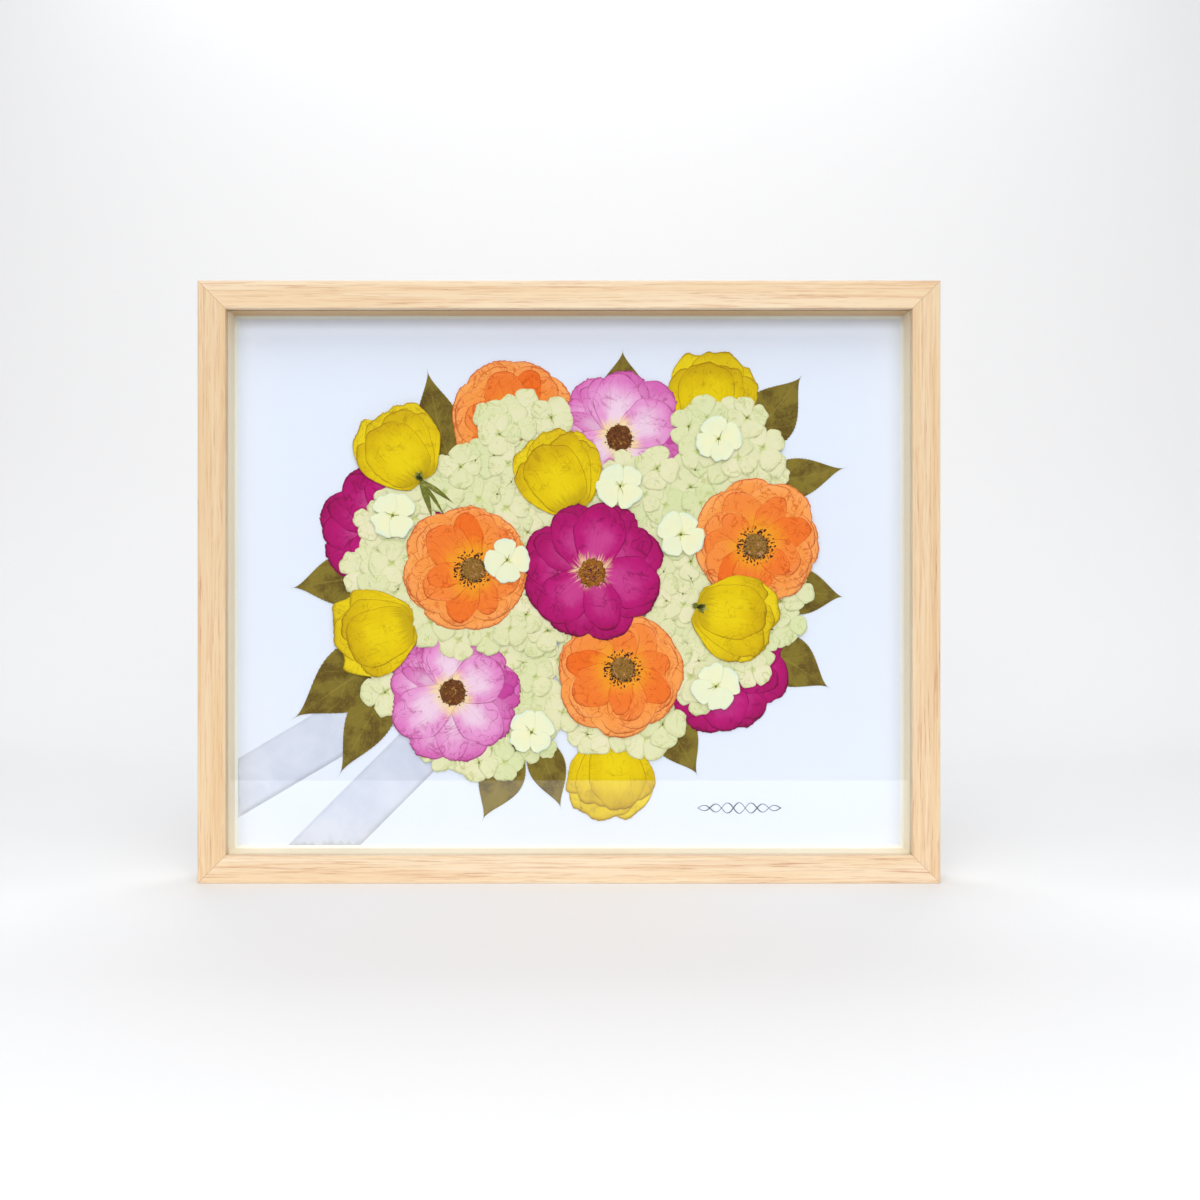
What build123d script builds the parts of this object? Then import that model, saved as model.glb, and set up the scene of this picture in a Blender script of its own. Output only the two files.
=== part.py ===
from build123d import *
import os
from math import atan2, degrees

# Shadow-box floating frame: a mitred wood moulding round a deep glazed box. Spacers hold
# the glass off a bevelled mat and a mount board that carries a pressed-flower bouquet.
# Origin: bottom centre of the frame's box. +X right, +Y to the wall side, +Z up. Millimetres.

os.makedirs("parts", exist_ok=True)

# Driving dimensions
glass_width = 508.0
glass_height = 406.4
cover = 5.0                 # how far the lip reaches over the glass
allowance = 0.6             # gap round the glass inside the rebate
face_width = 20.4
lip_depth = 5.0
glass_thickness = 2.0
spacer_depth = 15.0
mat_thickness = 2.0
board_thickness = 1.5
foam_thickness = 5.0
panel_thickness = 3.0
front_round = 1.0
back_round = 0.5

sight_width = glass_width - 2 * cover
sight_height = glass_height - 2 * cover
rebate_width = glass_width + 2 * allowance
rebate_height = glass_height + 2 * allowance
frame_width = sight_width + 2 * face_width
frame_height = sight_height + 2 * face_width
wall = (frame_width - rebate_width) / 2
stack = (lip_depth, glass_thickness, spacer_depth, mat_thickness,
         board_thickness, foam_thickness, panel_thickness)
frame_depth = sum(stack)

# Hanging hardware
wire_radius = 1.2
eye_hole_radius = wire_radius + 0.07
eye_radius = 2.6
strap_thickness = 1.0
strap_width = 8.0
strap_length = 35.0
strap_x = frame_width / 2 - 9.9
eye_z = 300.0
ring_half = 6.7             # wire centre line, half of the D's width
ring_corner = 2.5
ring_straight = 6.5         # from the bar down to the start of the round end
strap_screw_drops = (20.0, 30.0)

# Turn buttons
button_thickness = 1.2
button_gap = 0.1
button_root_radius = 4.5
button_tip_radius = 3.0
button_reach = 15.5
button_screw_radius = 1.6
button_hole_radius = button_screw_radius + 0.05
rail_button_x = 150.0

# Screws and corner wedges
head_radius = 3.0
head_height = 1.8
screw_grip = 12.0
screw_tip = 2.0
tip_taper = 30.0
strap_screw_radius = 1.5
recess_length = 3.4
recess_width = 0.7
recess_depth = 1.0
wedge_arm = 6.5
wedge_thickness = 0.5
wedge_depth = 10.0
wedge_set = 0.4             # how far a wedge is driven below the back
wedge_half_angle = 32.0

bumper_radius = 4.75
bumper_thickness = 3.0
bumper_x = 245.0

# Planes across the depth, from the front face to the wall side
total_depth = frame_depth + 2 * eye_radius
front_y = -total_depth / 2
glass_y = front_y + lip_depth
spacer_y = glass_y + glass_thickness
mat_y = spacer_y + spacer_depth
board_y = mat_y + mat_thickness
foam_y = board_y + board_thickness
panel_y = foam_y + foam_thickness
back_y = front_y + frame_depth
centre_z = frame_height / 2


def facing(y):
    """The upright plane at depth y, drawn in X and Z, that extrudes to the front."""
    return Plane.XZ.offset(-y)


def hand_in(piece, name):
    """Label a finished piece and write its file."""
    piece.part.label = name
    export_step(piece.part, f"parts/{name}.step")


def slab(name, width, height, front, thickness):
    """A flat rectangular sheet centred on the frame."""
    with BuildPart() as sheet:
        with BuildSketch(facing(front + thickness)):
            with Locations((0, centre_z)):
                Rectangle(width, height)
        extrude(amount=thickness)
    hand_in(sheet, name)


def pan_screws(places, seat, shank_radius):
    """Cross-recessed pan head screws whose heads sit on the plane y = seat."""
    with BuildPart() as screws:
        with BuildSketch(facing(seat)):
            with Locations(*places):
                Circle(shank_radius)
        extrude(amount=screw_grip)
        with BuildSketch(facing(seat - screw_grip)):
            with Locations(*places):
                Circle(shank_radius)
        extrude(amount=screw_tip, taper=tip_taper)
        with BuildSketch(facing(seat + head_height)):
            with Locations(*places):
                Circle(head_radius)
        extrude(amount=head_height)
        fillet(screws.edges().group_by(Axis.Y)[-1], radius=0.9)
        with BuildSketch(facing(seat + head_height)):
            with Locations(*places):
                Rectangle(recess_length, recess_width)
                Rectangle(recess_width, recess_length)
        extrude(amount=recess_depth, mode=Mode.SUBTRACT)
    return screws


# Corner wedges: one V of spring steel across each mitre, driven in from the back
corner_inset = 5.2
wedge_corners = [
    (side * (frame_width / 2 - corner_inset), centre_z + rise * (centre_z - corner_inset),
     -side, -rise)
    for side in (-1, 1)
    for rise in (-1, 1)
]

with BuildPart() as wedges:
    with BuildSketch(facing(back_y - wedge_set)):
        for x, z, inward_x, inward_z in wedge_corners:
            mitre_angle = degrees(atan2(inward_z, inward_x))
            for turn in (-wedge_half_angle, wedge_half_angle):
                with Locations(Location((x, z, 0), (0, 0, mitre_angle + turn))):
                    Rectangle(wedge_arm, wedge_thickness, align=(Align.MIN, Align.CENTER))
    extrude(amount=wedge_depth)
hand_in(wedges, "corner_wedges")


# Screws: each turn button's pivot, and two through each hanger strap
screw_line = wall / 2
turn_buttons = {
    "turn_button_top_left": (-rail_button_x, frame_height - screw_line, 0, -1),
    "turn_button_top_right": (rail_button_x, frame_height - screw_line, 0, -1),
    "turn_button_bottom_left": (-rail_button_x, screw_line, 0, 1),
    "turn_button_bottom_right": (rail_button_x, screw_line, 0, 1),
    "turn_button_left": (-frame_width / 2 + screw_line, centre_z, 1, 0),
    "turn_button_right": (frame_width / 2 - screw_line, centre_z, -1, 0),
}
button_places = [(x, z) for x, z, dx, dz in turn_buttons.values()]
button_seat = back_y + 2 * button_gap + button_thickness
button_screws = pan_screws(button_places, button_seat, button_screw_radius)
hand_in(button_screws, "turn_button_screws")

strap_places = [(side * strap_x, eye_z - drop) for side in (-1, 1) for drop in strap_screw_drops]
strap_screws = pan_screws(strap_places, back_y + strap_thickness, strap_screw_radius)
hand_in(strap_screws, "hanger_screws")


# Mitred mouldings, rebated from the back for the glass and everything behind it
half = frame_width / 2
inner = half - face_width
top = frame_height
mouldings = {
    "bottom_rail": ([(-half, 0), (half, 0), (inner, face_width), (-inner, face_width)], Axis.X),
    "top_rail": ([(-half, top), (half, top), (inner, top - face_width),
                  (-inner, top - face_width)], Axis.X),
    "left_stile": ([(-half, 0), (-inner, face_width), (-inner, top - face_width),
                    (-half, top)], Axis.Z),
    "right_stile": ([(half, 0), (inner, face_width), (inner, top - face_width),
                     (half, top)], Axis.Z),
}

for name, (outline, run) in mouldings.items():
    with BuildPart() as moulding:
        with BuildSketch(facing(back_y)):
            with BuildLine():
                Polyline(*outline, close=True)
            make_face()
        extrude(amount=frame_depth)
        with BuildSketch(facing(back_y)):
            with Locations((0, centre_z)):
                Rectangle(rebate_width, rebate_height)
        extrude(amount=frame_depth - lip_depth, mode=Mode.SUBTRACT)
        long_edges = moulding.edges().filter_by(run)
        fillet(long_edges.group_by(Axis.Y)[0], radius=front_round)
        long_edges = moulding.edges().filter_by(run)
        fillet(long_edges.group_by(Axis.Y)[-1], radius=back_round)
        add(wedges.part, mode=Mode.SUBTRACT)
        add(button_screws.part, mode=Mode.SUBTRACT)
        add(strap_screws.part, mode=Mode.SUBTRACT)
    hand_in(moulding, name)


# Glazing, spacers and boards, in order from the front
slab("front_glass", glass_width, glass_height, glass_y, glass_thickness)

side_spacer_height = glass_height - 2 * cover
spacers = {
    "top_spacer": (0, centre_z + (glass_height - cover) / 2, glass_width, cover),
    "bottom_spacer": (0, centre_z - (glass_height - cover) / 2, glass_width, cover),
    "left_spacer": (-(glass_width - cover) / 2, centre_z, cover, side_spacer_height),
    "right_spacer": ((glass_width - cover) / 2, centre_z, cover, side_spacer_height),
}
for name, (x, z, width, height) in spacers.items():
    with BuildPart() as spacer:
        with BuildSketch(facing(mat_y)):
            with Locations((x, z)):
                Rectangle(width, height)
        extrude(amount=spacer_depth)
    hand_in(spacer, name)

with BuildPart() as bevelled_mat:
    with BuildSketch(facing(board_y)):
        with Locations((0, centre_z)):
            Rectangle(glass_width, glass_height)
    extrude(amount=mat_thickness)
    with BuildSketch(facing(board_y)):
        with Locations((0, centre_z)):
            Rectangle(sight_width - 2 * mat_thickness, sight_height - 2 * mat_thickness)
    extrude(amount=mat_thickness, taper=-45, mode=Mode.SUBTRACT)
hand_in(bevelled_mat, "bevelled_mat")

slab("mount_board", glass_width, glass_height, board_y, board_thickness)
slab("foam_board", glass_width, glass_height, foam_y, foam_thickness)
slab("back_panel", glass_width, glass_height, panel_y, panel_thickness)


# Turn buttons: flat tear-drop plates that pivot on their screws
for name, (x, z, dx, dz) in turn_buttons.items():
    with BuildPart() as button:
        with BuildSketch(facing(back_y + button_gap + button_thickness)):
            with Locations((x, z)):
                Circle(button_root_radius)
            with Locations((x + button_reach * dx, z + button_reach * dz)):
                Circle(button_tip_radius)
            make_hull()
            with Locations((x, z)):
                Circle(button_hole_radius, mode=Mode.SUBTRACT)
        extrude(amount=button_thickness)
        fillet(button.edges().group_by(Axis.Y)[-1].sort_by(SortBy.LENGTH)[1:], radius=0.3)
    hand_in(button, name)


# Hangers: a strap folded round the bar of a D ring, one on each stile
ring_y = back_y + eye_radius
for side, word in ((-1, "left"), (1, "right")):
    x = side * strap_x
    with BuildPart() as strap:
        with BuildSketch(Plane.YZ.offset(x - strap_width / 2)):
            with Locations((back_y, eye_z)):
                Rectangle(strap_thickness, strap_length, align=(Align.MIN, Align.MAX))
            with Locations((ring_y, eye_z)):
                Circle(eye_radius)
                Circle(eye_hole_radius, mode=Mode.SUBTRACT)
        extrude(amount=strap_width)
        foot = strap.edges().filter_by(Axis.Y).group_by(Axis.Z)[0]
        fillet(foot, radius=3.0)
        with BuildSketch(facing(back_y + strap_thickness)):
            with Locations(*[(x, eye_z - drop) for drop in strap_screw_drops]):
                Circle(strap_screw_radius + 0.2)
        extrude(amount=strap_thickness, mode=Mode.SUBTRACT)
    hand_in(strap, f"{word}_hanger_strap")

    flat = ring_half - ring_corner
    low = eye_z - ring_straight
    with BuildPart() as ring:
        with BuildLine(facing(ring_y)) as path:
            Line((x, eye_z), (x + flat, eye_z))
            CenterArc((x + flat, eye_z - ring_corner), ring_corner, 90, -90)
            Line((x + ring_half, eye_z - ring_corner), (x + ring_half, low))
            CenterArc((x, low), ring_half, 0, -180)
            Line((x - ring_half, low), (x - ring_half, eye_z - ring_corner))
            CenterArc((x - flat, eye_z - ring_corner), ring_corner, 180, -90)
            Line((x - flat, eye_z), (x, eye_z))
        with BuildSketch(Plane.YZ.offset(x)):
            with Locations((ring_y, eye_z)):
                Circle(wire_radius)
        sweep(path=path.wires()[0])
    hand_in(ring, f"{word}_hanger_ring")

with BuildPart() as bumpers:
    with BuildSketch(facing(back_y + bumper_thickness)):
        with Locations((-bumper_x, screw_line), (bumper_x, screw_line)):
            Circle(bumper_radius)
    extrude(amount=bumper_thickness)
    fillet(bumpers.edges().group_by(Axis.Y)[-1], radius=0.8)
hand_in(bumpers, "wall_bumpers")


# Two sheer ribbon tails, laid flat under the bouquet and cut off at the mat's opening
ribbon_width = 38.0
ribbon_thickness = 0.3
ribbon_length = 300.0
ribbon_tails = {
    "ribbon_tail_left": (-111, 145, 30.5),
    "ribbon_tail_right": (-95, 110, 45.0),
}
for name, (x, z, slope) in ribbon_tails.items():
    with BuildPart() as ribbon:
        with BuildSketch(facing(board_y)):
            with Locations((0, centre_z)):
                Rectangle(sight_width - 2 * mat_thickness, sight_height - 2 * mat_thickness)
            with Locations(Location((x, z, 0), (0, 0, slope))):
                Rectangle(ribbon_length, ribbon_width, align=(Align.MAX, Align.CENTER),
                          mode=Mode.INTERSECT)
        extrude(amount=ribbon_thickness)
    hand_in(ribbon, name)


# Pressed flowers, as thin flat plates stacked in layers over the ribbon
layer = 0.5
plants_y = board_y - ribbon_thickness

leaves = [
    ((-88, 300), (-108, 378), 17),
    ((40, 330), (40, 393), 19),
    ((130, 318), (175, 373), 21),
    ((140, 290), (207, 304), 15),
    ((150, 214), (206, 208), 17),
    ((140, 175), (195, 139), 19),
    ((66, 125), (97, 74), 17),
    ((-40, 98), (-65, 40), 17),
    ((-25, 105), (-5, 49), 14),
    ((-125, 172), (-207, 116), 25),
    ((-130, 150), (-173, 74), 17),
    ((-140, 225), (-208, 214), 19),
]
with BuildPart() as foliage:
    with BuildSketch(facing(plants_y)):
        for stalk, tip, half_width in leaves:
            with BuildLine():
                SagittaArc(stalk, tip, half_width)
                SagittaArc(tip, stalk, half_width)
            make_face()
    extrude(amount=layer)
hand_in(foliage, "pressed_leaves")

orange_radius = 49.0
pink_radius = 52.0
magenta_radius = 55.0
yellow_radius = 33.0
blooms = {
    "orange_ranunculus_top": (-43, 338, orange_radius, 1),
    "yellow_buttercup_top_right": (106, 360, yellow_radius, 1),
    "magenta_rose_left": (-135, 258, magenta_radius, 1),
    "magenta_rose_right": (110, 157, magenta_radius, 1),
    "yellow_buttercup_bottom": (30, 72, yellow_radius, 1),
    "pink_rose_top": (39, 328, pink_radius, 2),
    "pink_rose_left": (-87, 133, pink_radius, 3),
    "orange_ranunculus_left": (-79, 229, orange_radius, 5),
    "orange_ranunculus_right": (139, 249, orange_radius, 5),
    "orange_ranunculus_bottom": (36, 150, orange_radius, 5),
    "yellow_buttercup_top_left": (-128, 320, yellow_radius, 5),
    "yellow_buttercup_left": (-147, 181, yellow_radius, 5),
    "yellow_buttercup_top": (-9, 302, yellow_radius, 5),
    "yellow_buttercup_right": (124, 191, yellow_radius, 6),
    "magenta_rose_centre": (16, 227, magenta_radius, 6),
}
petal_count = 7
petal_share = 0.45          # a petal's radius as a share of the bloom's
for name, (x, z, radius, level) in blooms.items():
    petal_radius = petal_share * radius
    with BuildPart() as bloom:
        with BuildSketch(facing(plants_y - level * layer)):
            with Locations((x, z)):
                Circle(radius - petal_radius)
                with PolarLocations(radius - petal_radius, petal_count):
                    Circle(petal_radius)
        extrude(amount=layer)
    hand_in(bloom, name)

hydrangeas = {
    "hydrangea_lower_left": (-59, 113, 53, 43, 2),
    "hydrangea_bottom": (39, 103, 43, 17, 2),
    "hydrangea_top_left": (-57, 321, 49, 44, 3),
    "hydrangea_left": (-139, 251, 30, 38, 3),
    "hydrangea_top_right": (125, 324, 42, 33, 3),
    "hydrangea_centre": (62, 260, 42, 60, 3),
    "hydrangea_right": (126, 169, 56, 50, 3),
    "hydrangea_middle": (-71, 187, 65, 29, 4),
}
for name, (x, z, half_x, half_z, level) in hydrangeas.items():
    with BuildPart() as head:
        with BuildSketch(facing(plants_y - level * layer)):
            with Locations((x, z)):
                Ellipse(half_x, half_z)
        extrude(amount=layer)
    hand_in(head, name)

floret_radius = 16.0
sepal_radius = 9.0
single_florets = [(-131, 268), (-46, 235), (38, 290), (83, 254), (111, 325), (-28, 107), (109, 141)]
with BuildPart() as florets:
    with BuildSketch(facing(plants_y - 7 * layer)):
        for x, z in single_florets:
            with Locations((x, z)):
                with PolarLocations(floret_radius - sepal_radius, 4):
                    Circle(sepal_radius)
    extrude(amount=layer)
hand_in(florets, "single_florets")
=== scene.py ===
"""Looks for a floating frame: a blond-wood shadow box that holds a pressed-flower bouquet.

Lengths are in metres. The frame stands on z = 0 with its front towards -Y.
"""
import logging
import math
import random
from dataclasses import dataclass
from enum import Enum
from typing import Any, Callable, Optional, Sequence

import bmesh
import bpy
from mathutils import Matrix, Vector, noise


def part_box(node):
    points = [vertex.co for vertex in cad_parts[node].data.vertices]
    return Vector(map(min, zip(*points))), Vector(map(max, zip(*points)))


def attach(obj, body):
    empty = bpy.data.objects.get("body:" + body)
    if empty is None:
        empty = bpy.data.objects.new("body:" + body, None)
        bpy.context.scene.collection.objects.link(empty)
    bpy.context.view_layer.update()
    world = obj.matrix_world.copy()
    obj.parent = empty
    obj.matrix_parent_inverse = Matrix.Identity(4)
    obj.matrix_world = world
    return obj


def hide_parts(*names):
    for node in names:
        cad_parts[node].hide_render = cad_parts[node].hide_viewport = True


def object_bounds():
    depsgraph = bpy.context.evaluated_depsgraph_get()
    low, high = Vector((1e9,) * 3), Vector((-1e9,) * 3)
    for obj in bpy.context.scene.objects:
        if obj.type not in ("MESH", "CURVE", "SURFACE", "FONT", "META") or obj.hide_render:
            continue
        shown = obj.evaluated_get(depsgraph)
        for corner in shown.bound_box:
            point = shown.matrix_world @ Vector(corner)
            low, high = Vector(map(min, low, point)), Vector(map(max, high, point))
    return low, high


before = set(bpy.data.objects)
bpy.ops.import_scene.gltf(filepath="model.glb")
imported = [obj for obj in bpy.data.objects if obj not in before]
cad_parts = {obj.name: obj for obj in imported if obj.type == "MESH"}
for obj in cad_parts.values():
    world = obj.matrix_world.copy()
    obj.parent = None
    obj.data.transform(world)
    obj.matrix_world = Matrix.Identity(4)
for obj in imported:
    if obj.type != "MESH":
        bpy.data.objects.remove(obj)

cad_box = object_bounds()
log = logging.getLogger("floating_frame")

Colour = tuple[float, float, float, float]
MM = 0.001
FRAME_BODY = "frame"
UPRIGHT = Matrix.Rotation(math.pi / 2, 4, "X")


def rgb(red: int, green: int, blue: int) -> Colour:
    """Turn a display colour into the linear colour that shaders take.

    Args:
        red: 0 to 255.
        green: 0 to 255.
        blue: 0 to 255.

    Returns:
        The linear colour with full alpha.
    """
    def linear(level: int) -> float:
        share = level / 255
        return share / 12.92 if share <= 0.04045 else ((share + 0.055) / 1.055) ** 2.4

    return (linear(red), linear(green), linear(blue), 1.0)


class Value:
    """One output of a shader node, with arithmetic that adds Math nodes."""

    def __init__(self, recipe: "Recipe", socket: bpy.types.NodeSocket) -> None:
        """Wrap a socket of the recipe's tree."""
        self.recipe = recipe
        self.socket = socket

    def maths(self, operation: str, first: Any, second: Any = None,
              clamp: bool = False) -> "Value":
        """Add one Math node.

        Args:
            operation: The node's operation.
            first: A Value or a number.
            second: A Value, a number or nothing.
            clamp: Whether the result is held between 0 and 1.

        Returns:
            The node's result.
        """
        settings = {"operation": operation, "use_clamp": clamp}
        return self.recipe.out("ShaderNodeMath", settings, {0: first, 1: second})

    def __add__(self, other: Any) -> "Value":
        """Add."""
        return self.maths("ADD", self, other)

    def __radd__(self, other: Any) -> "Value":
        """Add, with the number first."""
        return self.maths("ADD", other, self)

    def __sub__(self, other: Any) -> "Value":
        """Subtract."""
        return self.maths("SUBTRACT", self, other)

    def __rsub__(self, other: Any) -> "Value":
        """Subtract from a number."""
        return self.maths("SUBTRACT", other, self)

    def __mul__(self, other: Any) -> "Value":
        """Multiply."""
        return self.maths("MULTIPLY", self, other)

    def __rmul__(self, other: Any) -> "Value":
        """Multiply, with the number first."""
        return self.maths("MULTIPLY", other, self)

    def __pow__(self, exponent: Any) -> "Value":
        """Raise to a power."""
        return self.maths("POWER", self, exponent)

    def size(self) -> "Value":
        """The absolute value."""
        return self.maths("ABSOLUTE", self)

    def least(self, other: Any) -> "Value":
        """The smaller of the two."""
        return self.maths("MINIMUM", self, other)

    def most(self, other: Any) -> "Value":
        """The larger of the two."""
        return self.maths("MAXIMUM", self, other)

    def held(self) -> "Value":
        """The value held between 0 and 1."""
        return self.maths("ADD", self, 0.0, clamp=True)


class Recipe:
    """A material made step by step from shader nodes."""

    def __init__(self, name: str) -> None:
        """Start an empty material."""
        self.material = bpy.data.materials.new(name)
        self.material.use_nodes = True
        self.tree = self.material.node_tree
        self.tree.nodes.clear()

    def node(self, kind: str, settings: Optional[dict] = None,
             inputs: Optional[dict] = None) -> bpy.types.Node:
        """Add one node.

        Args:
            kind: The node's type.
            settings: Its own settings, and for a ramp its stops, set before the sockets.
            inputs: Values, numbers or colours by socket name or number.

        Returns:
            The node.
        """
        made = self.tree.nodes.new(kind)
        for key, setting in (settings or {}).items():
            if key == "stops":
                self._set_stops(made.color_ramp, setting)
            else:
                setattr(made, key, setting)
        for key, given in (inputs or {}).items():
            if isinstance(given, Value):
                self.tree.links.new(given.socket, made.inputs[key])
            elif given is not None:
                made.inputs[key].default_value = given
        return made

    @staticmethod
    def _set_stops(ramp: bpy.types.ColorRamp, stops: Sequence[tuple[float, Colour]]) -> None:
        """Give a colour ramp its stops."""
        while len(ramp.elements) < len(stops):
            ramp.elements.new(0.5)
        for element, (position, colour) in zip(ramp.elements, stops):
            element.position = position
            element.color = colour

    def out(self, kind: str, settings: Optional[dict] = None, inputs: Optional[dict] = None,
            output: Any = 0) -> Value:
        """Add one node and return one of its outputs."""
        return Value(self, self.node(kind, settings, inputs).outputs[output])

    def places(self) -> Value:
        """Object coordinates, in metres."""
        return self.out("ShaderNodeTexCoord", output="Object")

    def cut_places(self) -> Value:
        """The piece's own UV map."""
        return self.out("ShaderNodeUVMap", {"uv_map": "UVMap"})

    def attribute(self, name: str) -> Value:
        """A number kept on the mesh."""
        return self.out("ShaderNodeAttribute", {"attribute_name": name}, output="Fac")

    def parts(self, vector: Value) -> tuple[Value, Value, Value]:
        """The three numbers of a vector."""
        split = self.node("ShaderNodeSeparateXYZ", inputs={0: vector})
        return tuple(Value(self, socket) for socket in split.outputs)

    def joined(self, x: Any, y: Any, z: Any) -> Value:
        """A vector from three numbers."""
        return self.out("ShaderNodeCombineXYZ", inputs={0: x, 1: y, 2: z})

    def mapped(self, vector: Value, scale: Sequence[float],
               offset: Sequence[float] = (0, 0, 0)) -> Value:
        """A vector stretched and then shifted."""
        return self.out("ShaderNodeMapping", inputs={"Vector": vector, "Scale": scale,
                                                     "Location": offset})

    def noise(self, vector: Value, scale: float = 1.0, detail: float = 3.0,
              roughness: float = 0.5, distortion: float = 0.0) -> Value:
        """Cloudy noise from 0 to 1."""
        return self.out("ShaderNodeTexNoise", inputs={
            "Vector": vector, "Scale": scale, "Detail": detail, "Roughness": roughness,
            "Distortion": distortion})

    def cells(self, vector: Value, scale: float, feature: str = "F1") -> Value:
        """Distance to the nearest cell centre or cell edge."""
        return self.out("ShaderNodeTexVoronoi", {"feature": feature},
                        {"Vector": vector, "Scale": scale}, "Distance")

    def rise(self, value: Value, low: float, high: float) -> Value:
        """0 below low, 1 above high, and smooth between them."""
        return self.out("ShaderNodeMapRange", {"interpolation_type": "SMOOTHSTEP"},
                        {"Value": value, "From Min": low, "From Max": high})

    def mix(self, first: Any, second: Any, factor: Any, how: str = "MIX") -> Value:
        """A blend of two colours."""
        return self.out("ShaderNodeMix", {"data_type": "RGBA", "blend_type": how},
                        {"Factor": factor, 6: first, 7: second}, 2)

    def bump(self, height: Value, strength: float, distance: float) -> Value:
        """A normal from a height."""
        return self.out("ShaderNodeBump", inputs={
            "Height": height, "Strength": strength, "Distance": distance})

    def dress(self, surface: Value) -> bpy.types.Material:
        """Connect a shader to the output and return the material."""
        self.node("ShaderNodeOutputMaterial", inputs={"Surface": surface})
        return self.material

    def solid(self, colour: Any, roughness: Any, normal: Optional[Value] = None,
              **constants: Any) -> bpy.types.Material:
        """Finish as one Principled surface.

        Args:
            colour: Base colour.
            roughness: Roughness.
            normal: Normal, if bumped.
            **constants: Any other Principled sockets, with underscores for spaces.

        Returns:
            The finished material.
        """
        inputs = {"Base Color": colour, "Roughness": roughness, "Normal": normal}
        for key, given in constants.items():
            inputs[key.replace("_", " ")] = given
        return self.dress(self.out("ShaderNodeBsdfPrincipled", inputs=inputs))


# ------------------------------------------------------------------ finishes


class Run(Enum):
    """The way a moulding's grain runs."""

    ACROSS = "x"
    UP = "z"


@dataclass(frozen=True)
class BlondWood:
    """Pale ash under satin lacquer, its grain along the moulding."""

    run: Run
    shift: float
    pale: Colour = rgb(238, 217, 186)
    warm: Colour = rgb(232, 204, 166)
    streak: Colour = rgb(214, 172, 132)
    pore: Colour = rgb(184, 132, 104)
    joint: Colour = rgb(150, 108, 74)

    def grain_places(self, recipe: Recipe, along: float, across: float) -> Value:
        """Object coordinates stretched along the grain.

        Args:
            recipe: The material in work.
            along: Detail per metre along the grain.
            across: Detail per metre across it.

        Returns:
            The stretched coordinates.
        """
        scale = (along, across, across) if self.run is Run.ACROSS else (across, across, along)
        return recipe.mapped(recipe.places(), scale, (self.shift, self.shift * 2, self.shift * 3))

    def mitre(self, recipe: Recipe) -> Value:
        """1 on the mitre lines and 0 elsewhere."""
        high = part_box("top_rail")[1]
        middle = (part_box("bottom_rail")[0][2] + high[2]) / 2
        x, _, z = recipe.parts(recipe.places())
        beyond_side = x.size() - high[0]
        beyond_top = (z - middle).size() - (high[2] - middle)
        gap = (beyond_side - beyond_top).size()
        return 1.0 - recipe.rise(gap, 0.05 * MM, 0.35 * MM)

    def material(self) -> bpy.types.Material:
        """Make the wood."""
        recipe = Recipe(f"blond_wood_{self.run.value}_{self.shift:g}")
        broad = recipe.noise(self.grain_places(recipe, 3, 140), detail=3, distortion=0.4)
        bands = recipe.noise(self.grain_places(recipe, 9, 380), detail=3, roughness=0.55,
                             distortion=0.6)
        lines = recipe.noise(self.grain_places(recipe, 24, 900), detail=3, roughness=0.7,
                             distortion=0.4)
        dashes = recipe.noise(self.grain_places(recipe, 38, 1500), detail=2, distortion=0.3)
        colour = recipe.mix(self.pale, self.warm, recipe.rise(broad, 0.35, 0.65))
        colour = recipe.mix(colour, self.streak, recipe.rise(bands, 0.50, 0.68) * 0.5)
        colour = recipe.mix(colour, self.streak, recipe.rise(lines, 0.50, 0.64) * 0.6)
        pores = recipe.rise(dashes, 0.58, 0.68) * recipe.rise(bands, 0.42, 0.6)
        colour = recipe.mix(colour, self.pore, pores * 0.7)
        colour = recipe.mix(colour, self.joint, self.mitre(recipe) * 0.6)
        roughness = 0.42 + bands * 0.14 + pores * 0.15
        height = 0.6 * lines + 0.4 * dashes - pores
        return recipe.solid(colour, roughness, recipe.bump(height, 0.25, 0.05 * MM),
                            Coat_Weight=0.12, Coat_Roughness=0.3)


@dataclass(frozen=True)
class ClearGlass:
    """Picture glass: it shows what is behind it and mirrors a little of the room."""

    clear: Colour = (0.996, 0.999, 0.998, 1.0)

    def material(self) -> bpy.types.Material:
        """Make the glass."""
        recipe = Recipe("clear_glass")
        through = recipe.out("ShaderNodeBsdfTransparent", inputs={"Color": self.clear})
        sheen = recipe.out("ShaderNodeBsdfAnisotropic", inputs={
            "Color": (1.0, 1.0, 1.0, 1.0), "Roughness": 0.0})
        slant = recipe.out("ShaderNodeLayerWeight", inputs={"Blend": 0.5}, output="Facing")
        share = 0.04 + 0.96 * slant ** 5.0
        return recipe.dress(recipe.out("ShaderNodeMixShader", inputs={
            0: share, 1: through, 2: sheen}))


@dataclass(frozen=True)
class PaperStock:
    """Card, board or paper with a faint fibre."""

    name: str
    base: Colour
    fleck: Colour
    amount: float = 0.3
    fibre: float = 900.0
    roughness: float = 0.75
    relief: float = 0.02 * MM

    def material(self) -> bpy.types.Material:
        """Make the card."""
        recipe = Recipe(self.name)
        places = recipe.places()
        soft = recipe.noise(places, 14, detail=4)
        fine = recipe.noise(recipe.mapped(places, (1, 1, 0.6)), self.fibre, detail=4,
                            roughness=0.7)
        marks = recipe.rise(fine, 0.5, 0.8) * 0.7 + recipe.rise(soft, 0.35, 0.75) * 0.3
        colour = recipe.mix(self.base, self.fleck, marks * self.amount)
        return recipe.solid(colour, self.roughness + fine * 0.1,
                            recipe.bump(fine, 0.15, self.relief),
                            Specular_IOR_Level=0.25)


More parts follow.
